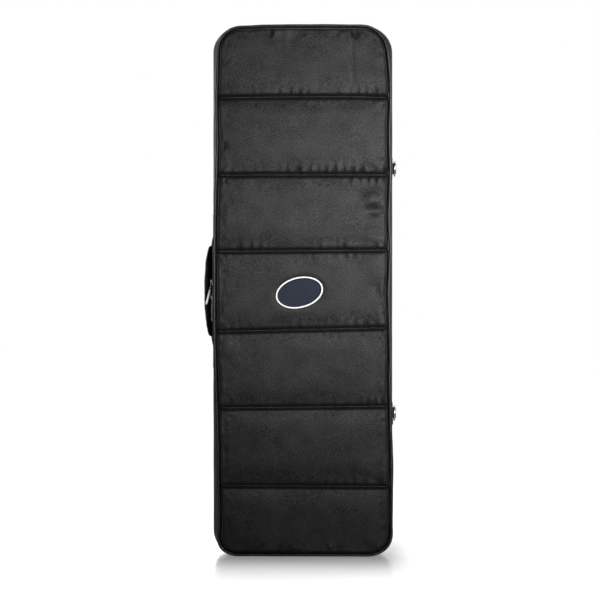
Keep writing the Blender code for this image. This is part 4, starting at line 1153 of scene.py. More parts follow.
def zip_frames(shift):
    """Stations at every turn of the coil."""
    stations = line_stations(SPINE_LOW, SPINE_HIGH)
    run = lengths_along(stations[:, :2])
    end = LINE_RADIUS * math.radians(COIL_END_DEGREES) + SPINE_LOW - LINE_LOW - LINE_RADIUS
    frames = read_at(np.arange(end + shift, run[-1] - end, COIL_PITCH), run, stations)
    frames[:, 2:] = unit(frames[:, 2:])
    return frames


def make_zip_half(half):
    """The tape and the coil on one side of the zip."""
    side = HALVES[half][0]
    levels = spaced(ZIP_Y + side * TAPE_START, ZIP_Y + side * (TAPE_START + TAPE_WIDTH), ZIP_TAPE_STEP)
    tape = swept(f"{half}_tape_cloth", GUSSET_LINE, layer(levels, TAPE_DEPTH, TAPE), TAPE_CLOTH, False)
    dress(tape, half, "zip_tape", f"{half}_zip_tape")
    frames = zip_frames(0 if side > 0 else COIL_PITCH / 2)
    tangents = xyz(-frames[:, 3], 0, frames[:, 2])[:, None, :]
    away, depths = np.array(COIL_TURN).T
    lean = np.linspace(-COIL_PITCH * COIL_LEAN, COIL_PITCH * COIL_LEAN, len(COIL_TURN))
    line = on_gusset(frames, ZIP_Y + side * away, depths, False) + lean[None, :, None] * tangents
    across = np.broadcast_to(tangents, line.shape)
    other = unit(np.cross(unit(np.gradient(line, axis=1)), across))
    rings = [line + COIL_WIRE * (math.cos(a) * across + math.sin(a) * other) for a in around(COIL_SIDES)]
    coil = many_tubes(f"{half}_zip_coil_turns", np.stack(rings, axis=2), COIL)
    dress(coil, half, "zip_coil", f"{half}_zip_coil")


# Metal and moulded pieces, in their own frame: outwards, across and along. The tables are in millimetres
MM = 0.001
EDGE_SEGMENTS = 3
SOLID_EDGE_DEGREES = 40
BLADE_EDGE_DEGREES = 60
METAL_SMOOTH_DEGREES = 35
SLIDER_OUTLINE = (
    (-8.0, 3.4), (-7.2, 3.9), (-4.0, 4.05), (0.0, 4.3), (3.4, 5.1), (5.4, 5.4), (7.0, 4.9), (7.8, 3.8),
    (8.0, 2.2), (7.2, 0.8), (6.9, 0.0),
)
SLIDER_POST = ((1.6, 0.7), (7.0, 0.7), (7.4, 0), (7.0, -0.7), (1.6, -0.7), (0.6, 0))
SLIDER_PLATE = 0.0015
SLIDER_UNDER_PLATE = 0.0012
SLIDER_PLAY = 0.0004
SLIDER_EDGE = 0.00028
COIL_DEPTH = 0.0003
FLANGE = 0.0007
FLANGE_WIDTH = 0.0008
FLANGE_START_MM, FLANGE_END_MM = -6.6, 6.4
OVERLAP = 0.0003
POST_OVERLAP = 0.0002
BAIL_HEIGHT = 0.0039
BAIL_STOCK = 0.0012
BAIL_HALF_WIDTH = 0.0012
BAIL_PATH = (
    (0.1, -4.1), (1.9, -4.1), (2.9, -3.7), (3.3, -2.8), (3.3, 2.9), (2.9, 3.8), (1.9, 4.2), (0.1, 4.2)
)
CREST_PATH = ((2.2, -5.6), (1.4, -6.4), (0, -6.7), (-1.4, -6.4), (-2.2, -5.6))
CREST_RADIUS = 0.0005
OUTLINE_STEPS = 3
BAIL_STEPS, BAIL_SIDES = 5, 14
CREST_STEPS, CREST_SIDES = 4, 8


def bevelled(name, made, surface, bevel, degrees):
    """One object of the closed shapes, the edges sharper than the degrees rounded off."""
    bmesh.ops.recalc_face_normals(made, faces=made.faces)
    if bevel:
        sharp = [edge for edge in made.edges if edge.calc_face_angle(0) > math.radians(degrees)]
        rounding = {"offset": bevel, "segments": EDGE_SEGMENTS, "profile": 0.5, "clamp_overlap": True}
        bmesh.ops.bevel(made, geom=sharp, affect="EDGES", **rounding)
    mesh = bpy.data.meshes.new(name)
    made.to_mesh(mesh)
    made.free()
    return finished(name, mesh, surface, METAL_SMOOTH_DEGREES)


def bridge(made, low, high):
    """Faces between two rings of vertices."""
    for k in range(len(low)):
        after = (k + 1) % len(low)
        made.faces.new((low[k], low[after], high[after], high[k]))


def solid_from(name, parts, surface, bevel=0.0):
    """One object from several closed shapes, each given as loops of points that can close into a ring."""
    made = bmesh.new()
    for loops, ring in parts:
        rows = [[made.verts.new(point) for point in loop] for loop in loops]
        for low, high in zip(rows, rows[1:] + rows[:1] if ring else rows[1:]):
            bridge(made, low, high)
        if not ring:
            made.faces.new(rows[0][::-1])
            made.faces.new(rows[-1])
    return bevelled(name, made, surface, bevel, SOLID_EDGE_DEGREES)


def smooth_loop(points, steps, closed=True):
    """A Catmull-Rom curve through the points."""
    points = np.asarray(points, float)
    count = len(points)
    made = []
    for k in range(count if closed else count - 1):
        at = np.arange(k - 1, k + 3)
        p = points[at % count if closed else np.clip(at, 0, count - 1)]
        made += [catmull_rom(p, t) for t in np.arange(steps) / steps]
    if not closed:
        made.append(points[-1])
    return np.array(made)


def plate_loops(outline, low, high):
    """The two faces of a flat plate."""
    return [[Vector((level, a, b)) for b, a in outline] for level in (low, high)]


def tube_loops(path, half_a, half_b, side_axis, sides, closed=False):
    """Rings of an oval section along a path that keeps to a plane square to side_axis."""
    ahead = np.roll(path, -1, axis=0) if closed else np.vstack([path[1:], path[-1:] * 2 - path[-2:-1]])
    behind = np.roll(path, 1, axis=0) if closed else np.vstack([path[:1] * 2 - path[1:2], path[:-1]])
    side_axis = np.array(side_axis, float)
    loops = []
    for point, other in zip(path, unit(np.cross(unit(ahead - behind), side_axis))):
        angles = [2 * math.pi * (step + 0.5) / sides for step in range(sides)]
        ring = [point + side_axis * half_a * math.cos(a) + other * half_b * math.sin(a) for a in angles]
        loops.append([Vector(place) for place in ring])
    return loops


def place_on(piece, place, turn, body, slot, *nodes):
    """Dresses a piece after its mesh is turned and moved from its own frame to where it sits."""
    piece.data.transform(Matrix.Translation(place) @ turn.to_4x4())
    dress(piece, body, slot, *nodes)


def make_slider(label, place, turn):
    """The zip slider: two plates with turned-in flanges, the post between them, and the bail."""
    right = smooth_loop(np.array(SLIDER_OUTLINE) * MM, OUTLINE_STEPS, False)
    outline = np.vstack([right, right[::-1][1:-1] * (1, -1)])
    top_low = SLIDER_PLAY - COIL_DEPTH
    top_high = top_low + SLIDER_PLATE
    under_high = -TAPE_DEPTH - TAPE - SLIDER_PLAY
    under_low = under_high - SLIDER_UNDER_PLATE
    parts = [plate_loops(outline, top_low, top_high), plate_loops(outline, under_low, under_high)]
    parts.append(plate_loops(np.array(SLIDER_POST) * MM, under_high - POST_OVERLAP, top_low + POST_OVERLAP))
    rim = [(b, a) for b, a in right if FLANGE_START_MM * MM < b < FLANGE_END_MM * MM]
    rim += [(b, a - FLANGE_WIDTH) for b, a in reversed(rim)]
    spans = ((top_low - FLANGE, top_low + OVERLAP), (under_high - OVERLAP, under_high + FLANGE))
    for side in (-1, 1):
        parts += [plate_loops([(b, side * a) for b, a in rim], *span) for span in spans]
    name = f"slider_{label}"
    body = solid_from(f"{name}_body", [(loops, False) for loops in parts], NICKEL, SLIDER_EDGE)
    place_on(body, place, turn, name, "nickel", name)
    bail = smooth_loop(np.array([(level, 0, along) for level, along in BAIL_PATH]) * MM, BAIL_STEPS, False)
    crest = np.array([(0, across, along) for across, along in CREST_PATH]) * MM
    crest = smooth_loop(crest, CREST_STEPS, False)
    for kind, path, section in (
        ("bail", bail, (BAIL_HALF_WIDTH, BAIL_STOCK / 2, (0, 1, 0), BAIL_SIDES)),
        ("crest", crest, (CREST_RADIUS, CREST_RADIUS, (1, 0, 0), CREST_SIDES)),
    ):
        path[:, 0] += top_high
        piece = solid_from(f"{name}_{kind}", [(tube_loops(path, *section), False)], NICKEL)
        place_on(piece, place, turn, name, "nickel")


TAB_LENGTH = 0.022
TAB_THICKNESS = 0.0016
TAB_HALF_WIDTH = 0.0043
TAB_CORNER = 0.001
TAB_EDGE = 0.0003
# The tab narrows between these lengths to this share of its width, under the grip
NECK_START, NECK_END, NECK_SHARE = 0.012, 0.0155, 0.72
WINDOW_HALF_WIDTH = 0.0029
WINDOW_LENGTH = 0.0056
WINDOW_CORNER = 0.0012
PULL_LENGTH = 0.046
PULL_OUT_DEGREES = 13.4
PULL_SIDE_DEGREES = 20
GRIP_START = 0.0145
GRIP_HALF_WIDTH = 0.0046
GRIP_THICKNESS = 0.0038
GRIP_ALONG_SHARES = (0, 0.03, 0.08, 0.3, 0.55, 0.8, 0.92, 0.98, 1)
GRIP_WIDTH_SHARES = (0.62, 0.84, 0.95, 1, 0.95, 0.86, 0.78, 0.62, 0.36)
GRIP_DEPTH_SHARES = (0.55, 0.82, 0.95, 1, 0.94, 1, 0.95, 0.75, 0.4)
GRIP_STEPS = 90
GRIP_SIDES = 28
GRIP_SQUARENESS = 0.72
GRIP_RIB_SPACING = 0.0022
GRIP_RIB_HEIGHT = 0.00032
GRIP_RIBS_START, GRIP_RIBS_END, GRIP_RIBS_RUN = 0.22, 0.80, 0.03
GRIP_RIB_WIDTH, GRIP_RIB_SIDE_RUN = 0.75, 0.15


def bulged(value, power):
    """A value from -1 to 1, drawn towards its ends."""
    return math.copysign(abs(value) ** power, value)


def mirrored(points):
    """The points, and back along their mirror image."""
    return points + [(-a, b) for a, b in reversed(points)]


def make_blade(name):
    """A stamped tab with a window, whose bar passes under the bail."""
    half, bar, neck = TAB_HALF_WIDTH, TAB_THICKNESS / 2, TAB_HALF_WIDTH * NECK_SHARE
    outline = [(half - TAB_CORNER, -bar), (half, -bar + TAB_CORNER), (half, NECK_START), (neck, NECK_END)]
    outline = mirrored([*outline, (neck, TAB_LENGTH)])
    window = [(WINDOW_HALF_WIDTH, bar), (WINDOW_HALF_WIDTH, WINDOW_LENGTH - WINDOW_CORNER)]
    window = mirrored([*window, (WINDOW_HALF_WIDTH - WINDOW_CORNER, WINDOW_LENGTH)])
    made = bmesh.new()
    levels = []
    for level in (-bar, bar):
        loops = [[made.verts.new((level, a, -b)) for a, b in points] for points in (outline, window)]
        edges = [made.edges.new(pair) for loop in loops for pair in zip(loop, loop[1:] + loop[:1])]
        bmesh.ops.triangle_fill(made, use_beauty=True, edges=edges)
        levels.append(loops)
    for low, high in zip(*levels):
        bridge(made, low, high)
    return bevelled(name, made, NICKEL, TAB_EDGE, BLADE_EDGE_DEGREES)


def grip_ring(share):
    """The moulded grip's section at a share of its length, with shallow ribs across its faces."""
    wide = GRIP_HALF_WIDTH * np.interp(share, GRIP_ALONG_SHARES, GRIP_WIDTH_SHARES)
    deep = GRIP_THICKNESS / 2 * np.interp(share, GRIP_ALONG_SHARES, GRIP_DEPTH_SHARES)
    along = GRIP_START + (PULL_LENGTH - GRIP_START) * share
    ribbed = smooth((share - GRIP_RIBS_START) / GRIP_RIBS_RUN)
    ribbed = ribbed * smooth((GRIP_RIBS_END - share) / GRIP_RIBS_RUN)
    rib = GRIP_RIB_HEIGHT * ribbed * (0.5 + 0.5 * math.cos(2 * math.pi * along / GRIP_RIB_SPACING))
    ring = []
    for angle in around(GRIP_SIDES):
        a = wide * bulged(math.cos(angle), GRIP_SQUARENESS)
        inset = rib * smooth((GRIP_RIB_WIDTH - abs(a) / wide) / GRIP_RIB_SIDE_RUN)
        ring.append(Vector(((deep - inset) * bulged(math.sin(angle), GRIP_SQUARENESS), a, -along)))
    return ring


def make_pull(label, place, turn):
    """The pull: its stamped tab, and the ribbed grip moulded over the tab's blade."""
    name = f"pull_{label}"
    place_on(make_blade(f"{name}_blade"), place, turn, name, "nickel", f"{name}_tab")
    loops = [grip_ring(share) for share in np.linspace(0, 1, GRIP_STEPS + 1)]
    grip = solid_from(f"{name}_moulding", [(loops, False)], PULL_GREY)
    place_on(grip, place, turn, name, "pull_grip", f"{name}_grip")


def make_zip_hardware():
    """Both sliders on the left side, the lower one upside down, and their pulls hanging."""
    surface = -HALF_WIDTH - float(swell(ZIP_Y))
    facing_left = Matrix.Rotation(math.pi, 3, "Z")
    upside_down = facing_left @ Matrix.Rotation(math.pi, 3, "X")
    out, aside = math.radians(PULL_OUT_DEGREES), math.radians(PULL_SIDE_DEGREES)
    leaning = Matrix.Rotation(-aside, 3, "X") @ Matrix.Rotation(out, 3, "Y") @ facing_left
    level = SLIDER_PLAY - COIL_DEPTH + SLIDER_PLATE + (BAIL_HEIGHT - BAIL_STOCK) / 2
    turns = {"upper": (facing_left, leaning), "lower": (upside_down, facing_left)}
    for label, (slider_turn, pull_turn) in turns.items():
        z = centre_of(f"slider_{label}")[2]
        make_slider(label, (surface, ZIP_Y, z), slider_turn)
        make_pull(label, (surface - level, ZIP_Y, z), pull_turn)


# Handle: a padded grip over webbing, whose two tails are sewn to the gusset
HANDLE_LENGTH = HANDLE_HIGH[2] - HANDLE_LOW[2]
HANDLE_WIDTH = HANDLE_HIGH[1] - HANDLE_LOW[1]
HANDLE_INSIDE = SIDE_RISE + 0.0005
HANDLE_REACH = -HALF_WIDTH - HANDLE_LOW[0]
HANDLE_END_REACH = 0.0175
HANDLE_STEPS = 110
HANDLE_SIDES = 56
HANDLE_SQUARENESS = 0.62
HANDLE_BOW = (2.3, 0.62)
HANDLE_END_NARROWING = 0.1
HANDLE_END_ROUND = 0.035
HANDLE_END_SHRINK, HANDLE_END_INSET = 0.25, 0.001
# The groove of the seam near both long edges, at this share of the half width
GROOVE_SHARE = 0.80
GROOVE_DEPTH, GROOVE_WIDTH, GROOVE_UNDER_SHARE = 0.0011, 0.0016, 0.4
SKIN_SINK = 0.0009
WRINKLE, WRINKLE_SCALE = 0.0009, 42
CRIMP, CRIMP_ACROSS, CRIMP_SEED, CRIMP_ALONG = 0.0005, 25, 3, 130
WRINKLE_UNDER_SHARE = 0.35
HANDLE_STITCH_END = 0.94
HANDLE_STITCH_STEPS = 90
STRAP_WIDTH = 0.040
STRAP = 0.002
STRAP_LEVEL = 0.0042
STRAP_STEPS = 30
STRAP_OUT = 0.0002
STRAP_EDGE_STEPS = 5
STRAP_ACROSS_STEPS = 12
TAIL_DROP = 0.024
TAIL_SEWN = 0.036
TAIL_STEPS = 26
TAIL_CURVE_STEPS = 5
TAIL_ALONG_SHARES = (0, 0.12, 0.35, 0.65, 0.88, 1)
TAIL_HEIGHT_SHARES = (1, 0.97, 0.72, 0.26, 0.03, 0)
# Box stitching of a tail: from the drop, from the tail's end and from its edges
BOX_START, BOX_END, BOX_SIDE = 0.004, 0.003, 0.0035
SEAM_STEPS = 20
THREAD_LIFT = 0.0001


def handle_point(offset, across, along):
    """Points offset metres out from the left piping line, and across and along from the handle's middle."""
    return xyz(-HALF_WIDTH - offset, HANDLE_Y + across, HANDLE_Z + along)


def handle_section(share, angle):
    """Offset and reach across of the grip's skin: a soft lens with a seam down both long edges."""
    bow = (1 - abs(share) ** HANDLE_BOW[0]) ** HANDLE_BOW[1]
    outside = HANDLE_END_REACH + (HANDLE_REACH - HANDLE_END_REACH) * bow
    middle, thick = (outside + HANDLE_INSIDE) / 2, (outside - HANDLE_INSIDE) / 2
    wide = HANDLE_WIDTH / 2 * (1 - HANDLE_END_NARROWING * share**4)
    end = 1 - smooth((1 - abs(share)) / HANDLE_END_ROUND)
    s = math.sin(angle)
    across = wide * bulged(math.cos(angle), HANDLE_SQUARENESS)
    up = thick * bulged(s, HANDLE_SQUARENESS)
    groove = GROOVE_DEPTH * math.exp(-(((abs(across) - wide * GROOVE_SHARE) / GROOVE_WIDTH) ** 2))
    along = share * HANDLE_LENGTH / 2
    wrinkle = WRINKLE * noise.noise(Vector((across, up, along)) * WRINKLE_SCALE)
    wrinkle += CRIMP * noise.noise(Vector((across * CRIMP_ACROSS, CRIMP_SEED, along * CRIMP_ALONG)))
    if s <= 0:
        groove, wrinkle = groove * GROOVE_UNDER_SHARE, wrinkle * WRINKLE_UNDER_SHARE
    skin = 1 - (HANDLE_END_SHRINK * end + HANDLE_END_INSET / thick * end)
    return middle + up * skin - math.copysign(1, s) * (groove + SKIN_SINK - wrinkle) * abs(s), across * skin


def strap_outline(width, thickness):
    """Section of webbing with round selvedges, as (across, up)."""
    half, bend = width / 2, thickness / 2
    top = [(a, bend) for a in np.linspace(-half + bend, half - bend, STRAP_ACROSS_STEPS)]
    side = []
    for step in range(1, STRAP_EDGE_STEPS):
        angle = math.pi / 2 - math.pi * step / STRAP_EDGE_STEPS
        side.append((half - bend + bend * math.cos(angle), bend * math.sin(angle)))
    return top + side + [(a, -bend) for a, _ in reversed(top)] + [(-a, b) for a, b in reversed(side)]


def strap_piece(name, path, to_point, width=STRAP_WIDTH, thickness=STRAP):
    """Webbing along a path of (level, along), its section upright to the path."""
    path = np.asarray(path, float)
    outline = strap_outline(width, thickness)
    across, up = np.array(outline).T
    grid = [
        to_point(level + up * run, across, along - up * rise)
        for (level, along), (rise, run) in zip(path, unit(np.gradient(path, axis=0)))
    ]
    vs = lengths_along([*outline, outline[0]])
    return grid_piece(name, grid, lengths_along(path), vs, WEBBING, ring_columns=True, caps=True)


def make_tail(label, side, level):
    """A strap end that drops from the grip and is box-stitched to the gusset."""
    start = HANDLE_LENGTH / 2 + FIT
    sewn, end = start + TAIL_DROP, start + TAIL_DROP + TAIL_SEWN
    curve = smooth_loop(np.array([TAIL_ALONG_SHARES, TAIL_HEIGHT_SHARES]).T, TAIL_CURVE_STEPS, False)
    path = [(up, start + TAIL_DROP * along) for along, up in curve]
    path += [(0.0, sewn + TAIL_SEWN * share) for share in np.linspace(0, 1, TAIL_STEPS)[1:]]
    levels, alongs = np.array(path).T

    def to_point(up, across, along):
        lifted = np.interp(along, alongs, levels)
        rest = swell(HANDLE_Y + across) + FIT + STRAP / 2
        return handle_point(rest * (1 - lifted) + level * lifted + up, across, side * along)

    tail = strap_piece(f"handle_tail_{label}_webbing", [(0.0, along) for along in alongs], to_point)
    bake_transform(tail)
    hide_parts(f"handle_tail_{label}")
    near, far, wide = sewn + BOX_START, end - BOX_END, STRAP_WIDTH / 2 - BOX_SIDE
    corners = [(-wide, near), (wide, near), (wide, far), (-wide, far), (-wide, near), (wide, far)]
    share = np.linspace(0, 1, SEAM_STEPS)
    lines = []
    for (a, b), (c, d) in [*zip(corners, corners[1:]), ((wide, near), (-wide, far))]:
        across = a + (c - a) * share
        offset = swell(HANDLE_Y + across) + FIT + STRAP + THREAD_LIFT
        lines.append(handle_point(offset, across, side * (b + (d - b) * share)))
    stitched(f"handle_tail_{label}_stitches", lines, LEFT, TAIL_SEAM, "base", "webbing")


def make_handle():
    """The padded grip with its seams, the webbing through it, and both tails."""
    grid = []
    for share in np.sin(np.linspace(-1, 1, HANDLE_STEPS + 1) * math.pi / 2):
        offset, across = np.array([handle_section(share, angle) for angle in around(HANDLE_SIDES)]).T
        grid.append(handle_point(offset, across, share * HANDLE_LENGTH / 2))
    us = np.linspace(0, HANDLE_LENGTH, HANDLE_STEPS + 1)
    vs = np.linspace(0, 2 * HANDLE_WIDTH, HANDLE_SIDES + 1)
    grip = grid_piece("handle_pad", grid, us, vs, PADDING_CLOTH, ring_columns=True, caps=True)
    dress(grip, "handle", "handle_padding", "handle_grip")
    seam_angle = math.acos(GROOVE_SHARE ** (1 / HANDLE_SQUARENESS))
    lines = []
    for angle in (math.pi - seam_angle, seam_angle):
        line = []
        for share in np.linspace(-HANDLE_STITCH_END, HANDLE_STITCH_END, HANDLE_STITCH_STEPS):
            offset, across = handle_section(share, angle)
            line.append(handle_point(offset + THREAD_LIFT, across, share * HANDLE_LENGTH / 2))
        lines.append(line)
    stitched("handle_stitches", lines, LEFT, HANDLE_SEAM, "handle", "handle_padding")
    level, end = HANDLE_INSIDE + STRAP_LEVEL, HANDLE_LENGTH / 2 + STRAP_OUT
    path = [(level, along) for along in np.linspace(-end, end, STRAP_STEPS)]
    dress(strap_piece("handle_webbing", path, handle_point), "handle", "webbing", "handle_strap")
    make_tail("lower", -1, level)
    make_tail("upper", 1, level)


# D-rings, each held by a webbing loop on a cloth patch
RING_PATCH = 0.044
PATCH_CLOTH = 0.0012
PATCH_STEPS = 24
PATCH_HEM, PATCH_HEM_AWAY, PATCH_HEM_RUN = 0.0004, 0.003, 0.0022
PATCH_EDGE, PATCH_EDGE_RUN, PATCH_SIDE = 0.0005, 0.0008, 0.001
PATCH_SEAM_INSET, PATCH_SEAM_STEPS, PATCH_THREAD_LIFT = 0.0035, 16, 0.00045
RING_WIRE = 0.0035
RING_WIDTH = 0.031
RING_DEPTH = 0.022
RING_CORNER = 0.0022
RING_BAR_SHORTER = 0.0036
RING_BOW_STEPS = 18
RING_CURVE_STEPS = 2
RING_SIDES = 18
RING_Y = 0.020
LOOP_WIDTH = 0.020
LOOP_LENGTH = 0.018
LOOP_CLOTH = 0.0012
LOOP_STEPS = 12
LOOP_TOP_START, LOOP_UNDER_START = 0.005, 0.003
LOOP_BEND_DEGREES = (62, 270, 19)
LOOP_STITCHES_AWAY = (0.0072, 0.0145)
LOOP_STITCH_SIDE = 0.0015


def make_ring_patch(label, z):
    """The cloth patch with its turned hem, and the stitches round it."""
    half = RING_PATCH / 2
    ys = np.linspace(RING_Y - half, RING_Y + half, PATCH_STEPS)
    zs = np.linspace(z - half, z + half, PATCH_STEPS)
    grid_y, grid_z = np.meshgrid(ys, zs)
    edge = half - np.maximum(np.abs(grid_y - RING_Y), np.abs(grid_z - z))
    hem = PATCH_HEM * np.exp(-(((edge - PATCH_HEM_AWAY) / PATCH_HEM_RUN) ** 2))
    hem = hem - PATCH_EDGE * np.exp(-(edge / PATCH_EDGE_RUN))
    top = on_right_side(grid_y, grid_z, FIT + PATCH_CLOTH + hem)
    shell = np.concatenate([top, on_right_side(grid_y, grid_z, FIT)[:, ::-1]], axis=1)
    across = ys - ys[0]
    vs = np.concatenate([across, across[-1] + PATCH_SIDE + across, [2 * (RING_PATCH + PATCH_SIDE)]])
    patch = grid_piece(f"ring_patch_{label}", shell, zs - zs[0], vs, SIDE_CLOTH, ring_columns=True, caps=True)
    dress(patch, "base", "polyester", f"d_ring_patch_{label}")
    reach, share = half - PATCH_SEAM_INSET, np.linspace(0, 1, PATCH_SEAM_STEPS)
    corners = [(-reach, -reach), (reach, -reach), (reach, reach), (-reach, reach), (-reach, -reach)]
    lift = FIT + PATCH_CLOTH + PATCH_THREAD_LIFT
    lines = [
        on_right_side(RING_Y + a + (c - a) * share, z + b + (d - b) * share, lift)
        for (a, b), (c, d) in zip(corners, corners[1:])
    ]
    stitched(f"ring_patch_{label}_stitches", lines, RIGHT, PATCH_SEAM, "base", "polyester")


def make_ring_loop(label, z, floor, bar, middle):
    """Webbing doubled round the ring's bar, and the two stitched rows that hold it."""

    def resting(away, layers):
        y = RING_Y + away
        return float(swell(y)) + floor + LOOP_CLOTH * layers, y

    path = [resting(away, 1.5) for away in np.linspace(LOOP_LENGTH, LOOP_TOP_START, LOOP_STEPS)]
    for degrees in np.linspace(*LOOP_BEND_DEGREES):
        angle = math.radians(degrees)
        path.append((bar + middle * math.sin(angle), RING_Y + middle * math.cos(angle)))
    path += [resting(away, 0.5) for away in np.linspace(LOOP_UNDER_START, LOOP_LENGTH, LOOP_STEPS)]

    def to_point(up, across, along):
        return xyz(HALF_WIDTH + up, along, z + across)

    loop = strap_piece(f"ring_loop_{label}", path, to_point, LOOP_WIDTH, LOOP_CLOTH)
    dress(loop, "base", "webbing", f"d_ring_loop_{label}")
    across = np.linspace(-1, 1, LOOP_STEPS) * (LOOP_WIDTH / 2 - LOOP_STITCH_SIDE)
    seams = [resting(away, 2) for away in LOOP_STITCHES_AWAY]
    lines = [xyz(HALF_WIDTH + level + THREAD_LIFT, y, z + across) for level, y in seams]
    stitched(f"ring_loop_{label}_stitches", lines, RIGHT, LOOP_SEAM, "base", "webbing")


def make_ring_anchor(label):
    """A D-ring with its straight bar in the loop, and all that holds it."""
    z = centre_of(f"d_ring_{label}")[2]
    make_ring_patch(label, z)
    floor, radius = 2 * FIT + PATCH_CLOTH, RING_WIRE / 2
    bar = float(swell(RING_Y)) + floor + radius + FIT + LOOP_CLOTH
    make_ring_loop(label, z, floor, bar, radius + FIT + LOOP_CLOTH / 2)
    side, far = RING_WIDTH / 2 - radius, RING_DEPTH - 2 * radius
    line = [(0, 0, 0), (0, 0, side / 2), (0, 0, side - RING_BAR_SHORTER)]
    for angle in (math.pi / 6, math.pi / 3, math.pi / 2):
        drop, out = RING_CORNER * (1 - math.cos(angle)), RING_CORNER * math.sin(angle)
        line.append((0, -drop, side - RING_CORNER + out))
    for step in range(1, RING_BOW_STEPS):
        angle = math.pi / 2 * step / RING_BOW_STEPS
        line.append((0, -RING_CORNER - (far - RING_CORNER) * math.sin(angle), side * math.cos(angle)))
    line = [*line, (0, -far, 0), *[(0, y, -across) for _, y, across in reversed(line[1:])]]
    ring = smooth_loop(line, RING_CURVE_STEPS) + (HALF_WIDTH + bar, RING_Y, z)
    loops = tube_loops(ring, radius, radius, (1, 0, 0), RING_SIDES, True)
    piece = solid_from(f"ring_{label}", [(loops, True)], NICKEL)
    dress(piece, f"d_ring_{label}", "nickel", f"d_ring_{label}")


# Badge
BADGE_STEPS = 96
BADGE_CLEARANCE = 0.0003
# Rings of the plate and of the rim in millimetres: inset from the outline, and height
PLATE_PROFILE = (
    (0.9, -0.9), (0.25, -0.9), (0.0, -0.6), (0.0, 1.5), (0.25, 1.85), (0.9, 1.95), (4.4, 1.9), (4.9, 1.75),
    (5.6, 1.6), (7.2, 1.55),
)
RIM_PROFILE = (
    (0.75, 1.7), (0.75, 2.35), (1.0, 2.6), (1.4, 2.7), (2.8, 2.7), (3.2, 2.6), (3.4, 2.3), (3.45, 1.7)
)
FIELD_SHARES = (0.8, 0.6, 0.4, 0.2)


def badge_ring(inset, lift, share=1.0):
    """An ellipse over the front's own slow curve, with its inset and lift in millimetres."""
    tilt = math.radians(BADGE_TILT_DEGREES)
    across = (BADGE_LENGTH / 2 - inset * MM) * share * np.cos(around(BADGE_STEPS))
    up = (BADGE_HEIGHT / 2 - inset * MM) * share * np.sin(around(BADGE_STEPS))
    x = BADGE_X + across * math.cos(tilt) - up * math.sin(tilt)
    z = BADGE_Z + across * math.sin(tilt) + up * math.cos(tilt)
    y = -PIPING_Y - (channel_rise(x, z) + BADGE_CLEARANCE) - CLOTH - lift * MM
    return [Vector(point) for point in xyz(x, y, z)]


def make_badge():
    """A bare oval badge: a dark moulded plate with its navy field, and a raised white rim."""
    loops = [badge_ring(*PLATE_PROFILE[0], share) for share in reversed(FIELD_SHARES)]
    loops += [badge_ring(*place) for place in PLATE_PROFILE]
    loops += [badge_ring(*PLATE_PROFILE[-1], share) for share in FIELD_SHARES]
    dress(solid_from("badge_moulding", [(loops, False)], BADGE_FIELD), "lid", "badge_field", "badge_plate")
    rim = solid_from("badge_ring", [([badge_ring(*place) for place in RIM_PROFILE], True)], BADGE_WHITE)
    dress(rim, "lid", "badge_rim", "badge_rim")


make_front()
make_back()
make_piping("front_piping_cord", -PIPING_Y, "lid")
make_piping("back_piping_cord", PIPING_Y, "base")
make_gusset("lid")
make_gusset("base")
make_panel_lining("front", "lid", FRONT_PAD_BACK + FIT, 1)
make_panel_lining("back", "base", BACK_PAD_FRONT - FIT, -1)
make_gusset_lining("lid")
make_gusset_lining("base")
make_spine()
make_zip_half("lid")
make_zip_half("base")
make_zip_hardware()
make_handle()
make_ring_anchor("lower")
make_ring_anchor("upper")
make_badge()

# Floor, backdrop, light and camera
CAMERA_DISTANCE = 4.5
CAMERA_AZIMUTH_DEGREES = 1.5
CAMERA_ELEVATION_DEGREES = 0.6
PHOTO_SIZE = 600
SENSOR = 36
SHEET_SIZE = 30.0
FLOOR_Z = -0.0004
FLOOR_WHITE = 0.80
FLOOR_FADE = 0.26
FLOOR_FADE_POWER = 1.6
FLOOR_MIRROR = 1.45
FLOOR_MIRROR_MOST = 0.82
FLOOR_ROUGHNESS = 0.16
FLOOR_GLOW = 1.0
# Painted shade: how much less the floor glows near the bag, so that the lamps' real shadow shows there
FLOOR_GLOW_NEAR_LESS = 0.05
FLOOR_NEAR = 1.2
FLOOR_SIDE_FADE = 5.0
BACKDROP_Y = 12.0
BACKDROP_IN_GLOSS = 0.45
WORLD_LIGHT = 0.03
WHITE = (1, 1, 1)


def stage_sheet(name, place, turn):
    """A large flat sheet of the stage, with an empty material's nodes and its output socket."""
    bpy.ops.mesh.primitive_plane_add(size=SHEET_SIZE, location=place, rotation=turn)
    sheet = bpy.context.object
    sheet.name = name
    material = bpy.data.materials.new(f"white_{name}")
    material.use_nodes = True
    material.node_tree.nodes.clear()
    sheet.data.materials.append(material)
    nodes = Nodes(material.node_tree)
    return nodes, nodes.new("OutputMaterial").inputs["Surface"]


